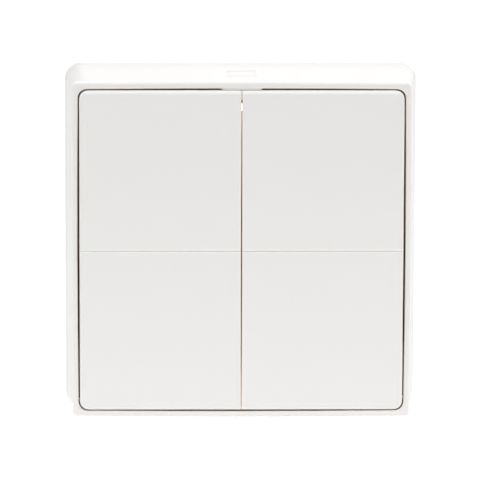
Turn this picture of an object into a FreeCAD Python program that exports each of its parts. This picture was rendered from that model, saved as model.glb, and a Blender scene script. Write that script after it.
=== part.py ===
import FreeCAD, Part
import math
import os
import Sketcher

# Surface-mounted wireless wall switch with two rockers, as separate pieces.
# X runs to the right, Z upwards and Y into the wall. The origin is the centre of the wall face.
# A depth is a distance from the wall towards the viewer, so a face at depth d lies at y = -d.

Vector = FreeCAD.Vector
DOC = FreeCAD.newDocument("WirelessWallSwitch")

# Driving sizes in millimetres: name, value, meaning.
SIZES = (
    ("rear_side", 80.0, "side of the frame at the wall"),
    ("rear_corner", 3.6, "corner radius of the frame at the wall"),
    ("front_side", 76.7, "side of the rim, across the middle"),
    ("front_corner", 1.1, "corner radius of the rim"),
    ("skirt_corner", 3.6, "corner radius of the skirt behind the rim"),
    ("overall_depth", 20.0, "wall to the face of the rim"),
    ("rim_depth", 3.2, "depth of the square-cornered rim"),
    ("wall_gap", 0.4, "shadow gap between wall and frame"),
    ("skirt_wall", 1.8, "wall of the skirt at the wall side"),
    ("aperture_side", 73.9, "side of the opening for the rockers"),
    ("aperture_corner", 2.1, "corner radius of that opening"),
    ("crown_radius", 3400.0, "bow of the rim's sides"),
    ("rim_round", 0.5, "rounding of the rim's outer edge"),
    ("lip_bevel", 0.2, "bevel of the rim's inner edge"),
    ("window_width", 6.6, "catch window in the top wall"),
    ("window_margin", 2.8, "window to the rim"),
    ("window_length", 6.0, "window along the depth"),
    ("nib_width", 9.2, "nib that closes the top gap in front of the catch"),
    ("nib_drop", 0.22, "nib below the edge of the opening"),
    ("nib_set", 0.4, "nib behind the face of the rim"),
    ("nib_length", 1.8, "nib along the depth"),
    ("hook_width", 6.0, "lower hooks of the wall plate"),
    ("hook_offset", 20.0, "centre of the frame to a lower hook"),
    ("hook_set", 5.4, "wall to the catch face of a lower hook"),
    ("hook_length", 1.4, "lower hook along the depth"),
    ("hook_grip", 0.45, "lower hook into the frame's wall"),
    ("hook_clearance", 0.3, "room round every hook and tooth"),
    ("plate_thickness", 2.0, "wall plate"),
    ("plate_clearance", 0.3, "wall plate to the skirt"),
    ("ring_wall", 1.4, "upright ring of the wall plate"),
    ("ring_rise", 5.0, "ring above the plate"),
    ("wall_hole", 4.2, "holes for the wall screws"),
    ("wall_hole_circle", 60.0, "circle of the wall screws"),
    ("arm_wall", 1.0, "spring arm of the catch"),
    ("tooth_width", 6.3, "tooth of the catch"),
    ("tooth_recess", 0.15, "tooth below the skirt's outer face"),
    ("tooth_land", 3.8, "top of the tooth, along the depth"),
    ("tooth_fall", 0.7, "lead-in slope of the tooth"),
    ("detent_width", 10.0, "detents that hold the housing"),
    ("detent_set", 4.0, "wall plate to the detents"),
    ("detent_length", 0.8, "detent along the depth"),
    ("detent_grip", 0.5, "detent into the housing"),
    ("tray_side", 70.4, "side of the rear housing"),
    ("tray_corner", 3.0, "corner radius of the rear housing"),
    ("tray_wall", 1.5, "side wall of the rear housing"),
    ("tray_floor", 1.5, "floor of the rear housing"),
    ("tray_clearance", 0.15, "rear housing to the ring"),
    ("battery_opening", 21.2, "opening for the cell in the floor"),
    ("relief_side", 9.0, "pocket over each wall screw head"),
    ("relief_depth", 2.6, "depth of those pockets"),
    ("relief_roof", 1.2, "roof of those pockets"),
    ("relief_wall", 0.6, "walls of those pockets"),
    ("post_side", 6.4, "corner posts of the rear housing, round their screws"),
    ("screw_diameter", 2.0, "shank of the housing screws"),
    ("screw_clearance", 0.2, "radial room round a shank"),
    ("thread_fit", 0.02, "radial room in the threaded post"),
    ("head_diameter", 3.8, "screw head"),
    ("head_height", 1.3, "height of a screw head"),
    ("head_sink", 1.6, "seat of a head inside the floor"),
    ("screw_bite", 2.0, "screw into the carrier's post"),
    ("board_clearance", 0.35, "circuit board to the housing wall"),
    ("board_corner", 1.5, "corner radius of the circuit board"),
    ("board_thickness", 1.2, "circuit board"),
    ("carrier_plate", 1.2, "plate of the rocker carrier"),
    ("carrier_corner", 2.2, "corner radius of the carrier"),
    ("lug_reach", 0.1, "carrier beyond the rocker's edge"),
    ("carrier_lip_rise", 1.0, "locating lip of the carrier"),
    ("carrier_lip_wall", 1.2, "wall of the locating lip"),
    ("carrier_lip_gap", 0.2, "locating lip to the housing wall"),
    ("carrier_post", 4.7, "corner posts of the carrier"),
    ("lug_width", 8.0, "pivot lug along the rocker's edge"),
    ("lug_wall", 1.1, "outer pivot lugs"),
    ("centre_lug", 1.6, "shared pivot lug between the rockers"),
    ("lug_top", 1.1, "lug above the pivot axis"),
    ("pin_diameter", 1.6, "pivot pins"),
    ("pin_fit", 0.05, "radial running fit of a pin"),
    ("pin_rise", 1.7, "carrier face to the pivot axis"),
    ("stem_room", 0.4, "room of a key stem in the carrier"),
    ("rocker_gap", 0.45, "rocker to the rim, across the middle"),
    ("rocker_corner", 2.0, "outer corner radius of the rockers"),
    ("rocker_crown", 30000.0, "bow of the rockers' outer sides"),
    ("mid_gap", 0.24, "gap between the rockers at mid-height"),
    ("mid_crown", 8500.0, "bow of the rockers' facing sides"),
    ("face_proud", 0.3, "rocker face in front of the rim's face"),
    ("skin", 1.4, "face wall of a rocker"),
    ("side_wall", 1.2, "side walls of a rocker"),
    ("wall_drop", 2.2, "side walls behind the face wall"),
    ("pivot_set", 1.3, "inner side of the face wall to the pivot"),
    ("cheek_wall", 1.1, "pivot cheeks of a rocker"),
    ("cheek_width", 5.2, "pivot cheek along the rocker"),
    ("cheek_gap", 0.3, "pivot cheek to its lug"),
    ("cheek_foot", 1.3, "pivot cheek behind the axis"),
    ("mouth_width", 1.3, "snap mouth of a cheek"),
    ("lug_room", 0.4, "notch in the side wall beside a lug"),
    ("groove_width", 0.6, "moulded groove across each rocker"),
    ("groove_depth", 0.35, "depth of that groove"),
    ("groove_step", 0.1, "upright height of the groove's lower side"),
    ("face_round", 0.4, "rounding of a rocker's outer edges"),
    ("end_slope", 0.8, "slope at a rocker's upper and lower end"),
    ("end_fall", 0.3, "fall of that slope"),
    ("mid_bevel", 0.15, "bevel of the facing edges"),
    ("rib_wall", 0.8, "stiffening ribs of a rocker"),
    ("rib_height", 1.1, "height of those ribs"),
    ("rib_offset", 9.0, "ribs from the rocker's middle"),
    ("pad_side", 5.0, "pads that press the keys"),
    ("pad_rise", 0.3, "height of a pad"),
    ("key_margin", 2.2, "key switch to the locating lip"),
    ("key_gap", 0.12, "pad to key stem"),
    ("switch_side", 6.2, "body of a key switch"),
    ("switch_height", 2.6, "height of a key switch"),
    ("switch_cap", 0.6, "cap of a key switch"),
    ("switch_cavity", 1.6, "room inside a key switch"),
    ("switch_headroom", 0.2, "key switch to the carrier"),
    ("stem_diameter", 3.4, "stem of a key"),
    ("stem_fit", 0.06, "radial fit of the stem in the cap"),
    ("flange_side", 4.4, "flange that retains the stem"),
    ("flange_height", 0.5, "height of that flange"),
    ("flange_room", 0.3, "room round the flange"),
    ("led_width", 1.6, "status light, across"),
    ("led_height", 0.8, "status light, up the board"),
    ("led_thickness", 0.7, "status light above the board"),
    ("pipe_inset", 0.45, "tray wall to the light pipe"),
    ("pipe_width", 1.2, "light pipe, across"),
    ("pipe_tall", 1.6, "light pipe, upright"),
    ("pipe_fit", 0.1, "light pipe in the carrier"),
    ("pipe_set", 0.75, "tip behind the rocker's face wall"),
    ("pipe_gap", 0.2, "light pipe to the status light"),
    ("pipe_flange", 0.8, "flange of the light pipe"),
    ("pipe_shoulder", 0.4, "flange beyond the light pipe"),
    ("pipe_room", 0.45, "rocker wall to the light pipe"),
    ("cell_diameter", 20.0, "coin cell"),
    ("cell_thickness", 3.2, "thickness of the cell"),
    ("cell_step", 0.6, "rim of the cell's smaller pole"),
    ("holder_fit", 0.2, "radial room round the cell"),
    ("holder_wall", 1.6, "wall of the cell holder"),
    ("holder_tab", 0.7, "retaining tabs over the cell"),
    ("holder_slot", 6.0, "gap in the holder for the contact"),
    ("leaf_thickness", 0.3, "contact sheet"),
    ("leaf_width", 4.0, "width of both contacts"),
    ("leaf_length", 15.0, "length of the negative contact"),
    ("foot_length", 2.6, "soldered foot of the positive contact"),
    ("module_width", 12.0, "radio module, across"),
    ("module_height", 15.0, "radio module, upright"),
    ("module_base", 0.6, "board of the radio module"),
    ("module_can", 1.5, "shield of the radio module"),
    ("module_border", 0.8, "board showing round the shield"),
    ("module_x", 14.0, "middle of the board to the radio module"),
    ("chip_side", 5.0, "microcontroller"),
    ("chip_height", 0.9, "height of the microcontroller"),
    ("chip_x", 8.0, "middle of the board to the microcontroller"),
    ("crystal_width", 3.2, "timing crystal, across"),
    ("crystal_height", 2.5, "timing crystal, upright"),
    ("crystal_thickness", 0.7, "timing crystal above the board"),
    ("crystal_x", 15.5, "middle of the board to the crystal"),
    ("part_length", 1.6, "small components, long side"),
    ("part_width", 0.8, "small components, short side"),
    ("part_height", 0.5, "small components above the board"),
    ("part_pitch", 2.4, "small components apart"),
)
PART_ROWS = 2
PART_COLUMNS = 5
SHEET = "Sizes"


class Dim:
    """A size written as an expression on the sheet, with its present value."""

    def __init__(self, text, value):
        self.text = text
        self.value = value

    def __add__(self, other):
        return combine(self, "+", other)

    def __radd__(self, other):
        return combine(other, "+", self)

    def __sub__(self, other):
        return combine(self, "-", other)

    def __rsub__(self, other):
        return combine(other, "-", self)

    def __mul__(self, other):
        return combine(self, "*", other)

    def __rmul__(self, other):
        return combine(other, "*", self)

    def __truediv__(self, other):
        return combine(self, "/", other)

    def __neg__(self):
        return combine(0.0, "-", self)


def as_dim(item):
    """A plain number becomes a Dim; a Dim stays as it is."""
    if isinstance(item, Dim):
        return item
    return Dim(f"({float(item)})", float(item))


def combine(first, sign, second):
    """One arithmetic step on two sizes."""
    left = as_dim(first)
    right = as_dim(second)
    results = {
        "+": left.value + right.value,
        "-": left.value - right.value,
        "*": left.value * right.value,
        "/": left.value / right.value if right.value else 0.0,
    }
    return Dim(f"({left.text} {sign} {right.text})", results[sign])


def fill_sheet():
    """The spreadsheet of driving sizes, and each size as a Dim."""
    sheet = DOC.addObject("Spreadsheet::Sheet", SHEET)
    dims = {}
    for row, (name, value, meaning) in enumerate(SIZES, 1):
        sheet.set(f"A{row}", name)
        sheet.set(f"B{row}", str(value))
        sheet.setAlias(f"B{row}", name)
        sheet.set(f"C{row}", meaning)
        dims[name] = Dim(f"{SHEET}.{name}", value)
    DOC.recompute()
    return dims


S = fill_sheet()

# Sizes that follow from the driving sizes.
REAR_HALF = S["rear_side"] / 2
FRONT_HALF = S["front_side"] / 2
APERTURE_HALF = S["aperture_side"] / 2
CAVITY_HALF = REAR_HALF - S["skirt_wall"]
RIM_START = S["overall_depth"] - S["rim_depth"]
PLATE_HALF = CAVITY_HALF - S["plate_clearance"]
TRAY_HALF = S["tray_side"] / 2
TRAY_INNER = TRAY_HALF - S["tray_wall"]
RING_INNER = TRAY_HALF + S["tray_clearance"]
RING_OUTER = RING_INNER + S["ring_wall"]
ROCKER_HALF = APERTURE_HALF - S["rocker_gap"]
CARRIER_HALF = ROCKER_HALF + S["lug_reach"]
FACE = S["overall_depth"] + S["face_proud"]
SKIN_INNER = FACE - S["skin"]
WALL_END = SKIN_INNER - S["wall_drop"]
PIVOT = SKIN_INNER - S["pivot_set"]
CARRIER_FACE = PIVOT - S["pin_rise"]
CARRIER_REAR = CARRIER_FACE - S["carrier_plate"]
BOARD_FACE = CARRIER_REAR - S["switch_headroom"] - S["switch_height"]
BOARD_REAR = BOARD_FACE - S["board_thickness"]
TRAY_REAR = S["plate_thickness"]
FLOOR_FACE = TRAY_REAR + S["tray_floor"]
WINDOW_END = RIM_START - S["window_margin"]
WINDOW_START = WINDOW_END - S["window_length"]
TRAY_INNER_CORNER = S["tray_corner"] - S["tray_wall"]
LIP_OUTER = TRAY_INNER - S["carrier_lip_gap"]
LIP_INNER = LIP_OUTER - S["carrier_lip_wall"]
POST = LIP_OUTER - TRAY_INNER_CORNER * (1.0 - math.sqrt(0.5)) - S["carrier_post"] / 2
LUG_INNER = CARRIER_HALF - S["lug_wall"]
OUTER_CHEEK = LUG_INNER - S["cheek_gap"] - S["cheek_wall"]
INNER_CHEEK = S["centre_lug"] / 2 + S["cheek_gap"]
KEY_X = (ROCKER_HALF + S["mid_gap"] / 2) / 2
KEY_Z = LIP_INNER - S["key_margin"] - S["switch_side"] / 2
CELL_FACE = BOARD_REAR - S["leaf_thickness"]
CELL_REAR = CELL_FACE - S["cell_thickness"]
HOLDER_INNER = S["cell_diameter"] / 2 + S["holder_fit"]
HOLDER_OUTER = HOLDER_INNER + S["holder_wall"]
PIPE_HIGH = TRAY_INNER - S["pipe_inset"]
PIPE_LOW = PIPE_HIGH - S["pipe_tall"]
PIPE_HEIGHT = (PIPE_LOW + PIPE_HIGH) / 2
PIPE_TIP = SKIN_INNER - S["pipe_set"]


def along_skirt(rear, front, depth):
    """A half side of the tapered skirt at a depth from the wall."""
    return rear + (front - rear) * (depth - S["wall_gap"]) / (RIM_START - S["wall_gap"])


def bind(item, prop, size):
    """Binds a property of a document object to a size."""
    item.setExpression(prop, as_dim(size).text)


def new_body(name):
    """An empty body with its label."""
    body = DOC.addObject("PartDesign::Body", name)
    body.Label = name
    return body


def new_sketch(body, name, role, offset=0.0):
    """A sketch on one of the body's own origin planes, moved along the plane's normal."""
    sketch = body.newObject("Sketcher::SketchObject", f"{body.Name}_{name}")
    plane = next(item for item in body.Origin.OriginFeatures if item.Role == role)
    sketch.AttachmentSupport = [(plane, "")]
    sketch.MapMode = "FlatFace"
    bind(sketch, "AttachmentOffset.Base.z", offset)
    return sketch


def front_sketch(body, name, depth):
    """A sketch parallel to the wall at a depth from it, seen from the front."""
    return new_sketch(body, name, "XZ_Plane", depth)


def limit(sketch, kind, size, *where):
    """A dimension of a sketch, bound to a size."""
    size = as_dim(size)
    index = sketch.addConstraint(Sketcher.Constraint(kind, *where, size.value))
    sketch.setExpression(f"Constraints[{index}]", size.text)


def place_point(sketch, geometry, point, across, up):
    """Holds one point of a sketch at its two coordinates."""
    limit(sketch, "DistanceX", across, -1, 1, geometry, point)
    limit(sketch, "DistanceY", up, -1, 1, geometry, point)


def polygon(sketch, corners):
    """A closed outline of straight lines through the corners."""
    first = len(sketch.Geometry)
    count = len(corners)
    spots = [Vector(as_dim(x).value, as_dim(y).value, 0) for x, y in corners]
    for index in range(count):
        sketch.addGeometry(Part.LineSegment(spots[index], spots[(index + 1) % count]), False)
    for index in range(count):
        follower = first + (index + 1) % count
        sketch.addConstraint(Sketcher.Constraint("Coincident", first + index, 2, follower, 1))
    for index, (across, up) in enumerate(corners):
        place_point(sketch, first + index, 1, across, up)


def rectangle(sketch, left, right, low, high):
    """An upright rectangle between two sides and two levels."""
    polygon(sketch, ((left, low), (right, low), (right, high), (left, high)))


def square(sketch, across, up, side):
    """An upright square by its centre and side."""
    rectangle(sketch, across - side / 2, across + side / 2, up - side / 2, up + side / 2)


def circle(sketch, across, up, diameter):
    """A circle by its centre and diameter."""
    centre = Vector(as_dim(across).value, as_dim(up).value, 0)
    radius = as_dim(diameter).value / 2
    index = sketch.addGeometry(Part.Circle(centre, Vector(0, 0, 1), radius), False)
    place_point(sketch, index, 3, across, up)
    limit(sketch, "Diameter", diameter, index)


def corner_arc(centre, radius, start, end):
    """An arc of a circle in a sketch, angles in radians."""
    return Part.ArcOfCircle(Part.Circle(centre, Vector(0, 0, 1), radius), start, end)


def close_outline(sketch, first, corner):
    """Tangent joints and equal corners of an outline of four sides and four corner arcs."""
    for index in range(8):
        follower = first + (index + 1) % 8
        sketch.addConstraint(Sketcher.Constraint("Tangent", first + index, 2, follower, 1))
    for index in (3, 5, 7):
        sketch.addConstraint(Sketcher.Constraint("Equal", first + 1, first + index))
    limit(sketch, "Radius", corner, first + 1)


def straight_outline(sketch, half, corner):
    """A square with rounded corners and straight sides, centred on the origin."""
    first = len(sketch.Geometry)
    side = as_dim(half).value
    radius = as_dim(corner).value
    flat = side - radius
    for quarter in range(4):
        turn = quarter * math.pi / 2
        across = Vector(math.cos(turn), math.sin(turn), 0)
        up = Vector(-math.sin(turn), math.cos(turn), 0)
        start = across * side - up * flat
        end = across * side + up * flat
        sketch.addGeometry(Part.LineSegment(start, end), False)
        centre = across * flat + up * flat
        sketch.addGeometry(corner_arc(centre, radius, turn, turn + math.pi / 2), False)
    close_outline(sketch, first, corner)
    for quarter, kind in enumerate(("DistanceX", "DistanceY", "DistanceX", "DistanceY")):
        facing = "Vertical" if kind == "DistanceX" else "Horizontal"
        sketch.addConstraint(Sketcher.Constraint(facing, first + 2 * quarter))
        reach = as_dim(half) if quarter < 2 else -as_dim(half)
        limit(sketch, kind, reach, -1, 1, first + 2 * quarter, 1)


def crowned_outline(sketch, half, corner, crown):
    """A square with rounded corners whose sides bow outwards by large arcs."""
    first = len(sketch.Geometry)
    radius = as_dim(corner).value
    big = as_dim(crown).value
    back = big - as_dim(half).value
    inner = big - radius
    spot = (math.sqrt(2 * inner * inner - back * back) - back) / 2
    swing = math.atan2(spot, spot + back)
    for quarter in range(4):
        turn = quarter * math.pi / 2
        across = Vector(math.cos(turn), math.sin(turn), 0)
        up = Vector(-math.sin(turn), math.cos(turn), 0)
        sketch.addGeometry(corner_arc(across * -back, big, turn - swing, turn + swing), False)
        centre = across * spot + up * spot
        ends = (turn + swing, turn + math.pi / 2 - swing)
        sketch.addGeometry(corner_arc(centre, radius, *ends), False)
    close_outline(sketch, first, corner)
    for index in (2, 4, 6):
        sketch.addConstraint(Sketcher.Constraint("Equal", first, first + index))
    limit(sketch, "Radius", crown, first)
    behind = as_dim(half) - crown
    for quarter, (across, up) in enumerate(((behind, 0), (0, behind), (-behind, 0), (0, -behind))):
        place_point(sketch, first + 2 * quarter, 3, across, up)


def pad(body, sketch, length, reversed_way=False, midplane=False):
    """Adds material along the sketch's normal."""
    feature = body.newObject("PartDesign::Pad", f"{sketch.Name}_pad")
    feature.Profile = sketch
    bind(feature, "Length", length)
    feature.Reversed = reversed_way
    feature.Midplane = midplane
    DOC.recompute()
    return feature


def pocket(body, sketch, length, along_normal=False):
    """Cuts against the sketch's normal, or along it, and makes sure that something was cut."""
    before = body.Shape.Volume
    feature = body.newObject("PartDesign::Pocket", f"{sketch.Name}_pocket")
    feature.Profile = sketch
    bind(feature, "Length", length)
    feature.Reversed = along_normal
    DOC.recompute()
    if not feature.Shape.Volume < before:
        raise RuntimeError(f"{feature.Name} cuts nothing")
    return feature


def loft(body, kind, name, profile, section):
    """A ruled loft between two outlines."""
    feature = body.newObject(kind, name)
    feature.Profile = profile
    feature.Sections = [section]
    feature.Ruled = True
    DOC.recompute()
    return feature


def edges_at(feature, depth, keep):
    """Names of the edges that lie at one depth and pass the test."""
    level = -as_dim(depth).value
    names = []
    for index, edge in enumerate(feature.Shape.Edges, 1):
        box = edge.BoundBox
        flat = abs(box.YMin - level) < 1e-4 and abs(box.YMax - level) < 1e-4
        if flat and keep(box):
            names.append(f"Edge{index}")
    return names


def fillet(body, feature, names, radius):
    """Rounds the named edges of the last feature."""
    rounding = body.newObject("PartDesign::Fillet", f"{feature.Name}_round")
    rounding.Base = (feature, names)
    bind(rounding, "Radius", radius)
    DOC.recompute()
    return rounding


def bevel(body, feature, names, size):
    """Bevels the named edges of the last feature."""
    cut = body.newObject("PartDesign::Chamfer", f"{feature.Name}_bevel")
    cut.Base = (feature, names)
    bind(cut, "Size", size)
    DOC.recompute()
    return cut


def reach_of(box):
    """How far from the centre a flat edge reaches, across or up."""
    return max(abs(box.XMin), abs(box.XMax), abs(box.ZMin), abs(box.ZMax))


def make_front_frame():
    """Outer frame: a flared skirt with soft corners, and a square-cornered rim."""
    body = new_body("front_frame")
    rear = front_sketch(body, "rear", S["wall_gap"])
    straight_outline(rear, REAR_HALF, S["rear_corner"])
    waist = front_sketch(body, "waist", RIM_START)
    crowned_outline(waist, FRONT_HALF, S["skirt_corner"], S["crown_radius"])
    loft(body, "PartDesign::AdditiveLoft", "skirt", rear, waist)
    rim = front_sketch(body, "rim", RIM_START)
    crowned_outline(rim, FRONT_HALF, S["front_corner"], S["crown_radius"])
    block = pad(body, rim, S["rim_depth"])
    outer = edges_at(block, S["overall_depth"], lambda box: True)
    fillet(body, block, outer, S["rim_round"])

    hollow = front_sketch(body, "hollow", S["wall_gap"])
    straight_outline(hollow, CAVITY_HALF, S["rear_corner"] - S["skirt_wall"])
    throat = front_sketch(body, "throat", RIM_START)
    crowned_outline(throat, APERTURE_HALF, S["aperture_corner"], S["crown_radius"])
    loft(body, "PartDesign::SubtractiveLoft", "cavity", hollow, throat)
    opening = front_sketch(body, "opening", S["overall_depth"])
    crowned_outline(opening, APERTURE_HALF, S["aperture_corner"], S["crown_radius"])
    mouth = pocket(body, opening, S["rim_depth"])
    edge_reach = APERTURE_HALF.value + 0.5 * (FRONT_HALF.value - APERTURE_HALF.value)
    inner = edges_at(mouth, S["overall_depth"], lambda box: reach_of(box) < edge_reach)
    inner = [name for name in inner if is_inner(mouth, name)]
    bevel(body, mouth, inner, S["lip_bevel"])

    window = new_sketch(body, "window", "XY_Plane", APERTURE_HALF - S["arm_wall"])
    half = S["window_width"] / 2
    rectangle(window, -half, half, -WINDOW_END, -WINDOW_START)
    pocket(body, window, REAR_HALF - APERTURE_HALF + 2 * S["arm_wall"], along_normal=True)

    recess_wall = along_skirt(CAVITY_HALF, APERTURE_HALF, S["hook_set"])
    level = recess_wall + S["hook_grip"] + S["hook_clearance"]
    depth = 2 * S["arm_wall"]
    for side in (-1, 1):
        name = "left_recess" if side < 0 else "right_recess"
        recess = new_sketch(body, name, "XY_Plane", depth - level)
        room = S["hook_width"] / 2 + S["hook_clearance"]
        middle = side * S["hook_offset"]
        far = S["hook_set"] + S["hook_length"] + S["hook_clearance"]
        near = S["hook_set"] - S["hook_clearance"]
        rectangle(recess, middle - room, middle + room, -far, -near)
        pocket(body, recess, depth)

    nib = front_sketch(body, "nib", S["overall_depth"] - S["nib_set"] - S["nib_length"])
    half = S["nib_width"] / 2
    root = (FRONT_HALF - APERTURE_HALF) / 2
    rectangle(nib, -half, half, APERTURE_HALF - S["nib_drop"], APERTURE_HALF + root)
    pad(body, nib, S["nib_length"])
    return body


def is_inner(feature, name):
    """Whether an edge of the face of the rim bounds the opening."""
    edge = feature.Shape.getElement(name)
    middle = edge.valueAt((edge.FirstParameter + edge.LastParameter) / 2)
    return max(abs(middle.x), abs(middle.z)) < (APERTURE_HALF.value + FRONT_HALF.value) / 2


def make_wall_plate():
    """Wall plate: screw holes, a ring round the housing, the catch and the lower hooks."""
    body = new_body("wall_plate")
    base = front_sketch(body, "base", 0.0)
    straight_outline(base, PLATE_HALF, S["rear_corner"] - S["skirt_wall"])
    pad(body, base, S["plate_thickness"])

    ring = front_sketch(body, "ring", S["plate_thickness"])
    straight_outline(ring, RING_OUTER, S["tray_corner"])
    straight_outline(ring, RING_INNER, S["tray_corner"] - S["tray_clearance"])
    pad(body, ring, S["ring_rise"])

    arm = front_sketch(body, "arm", S["plate_thickness"])
    half = S["nib_width"] / 2
    rectangle(arm, -half, half, RING_OUTER - S["arm_wall"], RING_OUTER)
    pad(body, arm, WINDOW_END - S["plate_thickness"])

    near = WINDOW_START + S["hook_clearance"]
    land = near + S["tooth_land"]
    far = WINDOW_END - S["hook_clearance"]
    back = along_skirt(REAR_HALF, FRONT_HALF, near) - S["tooth_recess"]
    front = along_skirt(REAR_HALF, FRONT_HALF, land) - S["tooth_recess"]
    root = RING_OUTER - S["arm_wall"] / 2
    tooth = new_sketch(body, "tooth", "YZ_Plane")
    corners = (
        (-near, root),
        (-near, back),
        (-land, front),
        (-far, front - S["tooth_fall"]),
        (-far, root),
    )
    polygon(tooth, corners)
    pad(body, tooth, S["tooth_width"], midplane=True)

    hook_near = S["hook_set"]
    hook_far = S["hook_set"] + S["hook_length"]
    hook_top = along_skirt(CAVITY_HALF, APERTURE_HALF, hook_near) + S["hook_grip"]
    for side in (-1, 1):
        name = "left_hook" if side < 0 else "right_hook"
        start = side * S["hook_offset"] - S["hook_width"] / 2
        hook = new_sketch(body, name, "YZ_Plane", start)
        corners = (
            (-hook_near, -root),
            (-hook_near, -hook_top),
            (-(hook_near + hook_far) / 2, -hook_top),
            (-hook_far, -RING_OUTER),
            (-hook_far, -root),
        )
        polygon(hook, corners)
        pad(body, hook, S["hook_width"])

    for side in (-1, 1):
        name = "left_detent" if side < 0 else "right_detent"
        detent = new_sketch(body, name, "XZ_Plane", S["plate_thickness"] + S["detent_set"])
        tip = side * (RING_INNER - S["detent_grip"])
        wall = side * (RING_INNER + S["ring_wall"] / 2)
        half = S["detent_width"] / 2
        rectangle(detent, *in_order(tip, wall), -half, half)
        pad(body, detent, S["detent_length"])

    holes = front_sketch(body, "holes", S["plate_thickness"])
    reach = S["wall_hole_circle"] / 2
    for across, up in ((reach, 0), (0, reach), (-reach, 0), (0, -reach)):
        circle(holes, across, up, S["wall_hole"])
    pocket(body, holes, S["plate_thickness"])

    # Each hook, the tooth and each detent has a core slot of the mould behind it.
    slots = front_sketch(body, "core_slots", S["plate_thickness"])
    for middle, width, way in (
        (-S["hook_offset"], S["hook_width"], -1),
        (S["hook_offset"], S["hook_width"], -1),
        (as_dim(0.0), S["tooth_width"], 1),
    ):
        room = width / 2 + S["hook_clearance"]
        ends = in_order(way * RING_OUTER, way * REAR_HALF)
        rectangle(slots, middle - room, middle + room, *ends)
    for side in (-1, 1):
        tip = side * (RING_INNER - S["detent_grip"] - S["hook_clearance"])
        room = S["detent_width"] / 2 + S["hook_clearance"]
        rectangle(slots, *in_order(tip, side * RING_INNER), -room, room)
    pocket(body, slots, S["plate_thickness"])
    return body


def in_order(first, second):
    """Two sizes with the smaller one first."""
    if as_dim(first).value <= as_dim(second).value:
        return first, second
    return second, first


def four_corners(reach):
    """The four corner places of a square pattern."""
    return ((reach, reach), (-reach, reach), (-reach, -reach), (reach, -reach))


def screw_places():
    """The two opposite corners that have a screw."""
    return ((-POST, POST), (POST, -POST))


def four_sides(reach):
    """The four places on the axes of a square pattern."""
    return ((reach, 0), (0, reach), (-reach, 0), (0, -reach))


def make_rear_housing():
    """Rear housing: an open tray with corner posts and the opening for the cell."""
    body = new_body("rear_housing")
    block = front_sketch(body, "block", TRAY_REAR)
    straight_outline(block, TRAY_HALF, S["tray_corner"])
    pad(body, block, CARRIER_REAR - TRAY_REAR)
    room = front_sketch(body, "room", CARRIER_REAR)
    straight_outline(room, TRAY_INNER, TRAY_INNER_CORNER)
    pocket(body, room, CARRIER_REAR - FLOOR_FACE)

    roof = TRAY_REAR + S["relief_depth"] + S["relief_roof"]
    reach = S["wall_hole_circle"] / 2
    domes = front_sketch(body, "domes", TRAY_REAR)
    for across, up in four_sides(reach):
        square(domes, across, up, S["relief_side"] + 2 * S["relief_wall"])
    pad(body, domes, roof - TRAY_REAR)
    reliefs = front_sketch(body, "reliefs", TRAY_REAR)
    for across, up in four_sides(reach):
        square(reliefs, across, up, S["relief_side"])
    pocket(body, reliefs, S["relief_depth"], along_normal=True)

    posts = front_sketch(body, "posts", TRAY_REAR)
    free = POST - S["post_side"] / 2
    root = TRAY_INNER + S["tray_wall"] / 2
    for left, right in ((-root, -free), (free, root)):
        rectangle(posts, left, right, -root, -free)
        rectangle(posts, left, right, free, root)
    pad(body, posts, BOARD_REAR - TRAY_REAR)
    shanks = front_sketch(body, "shanks", TRAY_REAR)
    for across, up in screw_places():
        circle(shanks, across, up, S["screw_diameter"] + 2 * S["screw_clearance"])
    pocket(body, shanks, BOARD_REAR - TRAY_REAR, along_normal=True)
    sinks = front_sketch(body, "sinks", TRAY_REAR)
    for across, up in screw_places():
        circle(sinks, across, up, S["head_diameter"] + 2 * S["screw_clearance"])
    pocket(body, sinks, S["head_sink"], along_normal=True)

    door = front_sketch(body, "cell_opening", FLOOR_FACE)
    circle(door, 0, 0, S["battery_opening"])
    pocket(body, door, S["tray_floor"])

    notch_set = TRAY_REAR + S["detent_set"] - S["hook_clearance"]
    notch_end = TRAY_REAR + S["detent_set"] + S["detent_length"] + S["hook_clearance"]
    half = S["detent_width"] / 2 + S["hook_clearance"]
    for side in (-1, 1):
        name = "left_notch" if side < 0 else "right_notch"
        notch = front_sketch(body, name, notch_set)
        near = side * (RING_INNER - S["detent_grip"] - S["hook_clearance"])
        far = side * (TRAY_HALF + S["tray_clearance"])
        rectangle(notch, *in_order(near, far), -half, half)
        pocket(body, notch, notch_end - notch_set, along_normal=True)
    return body


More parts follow.
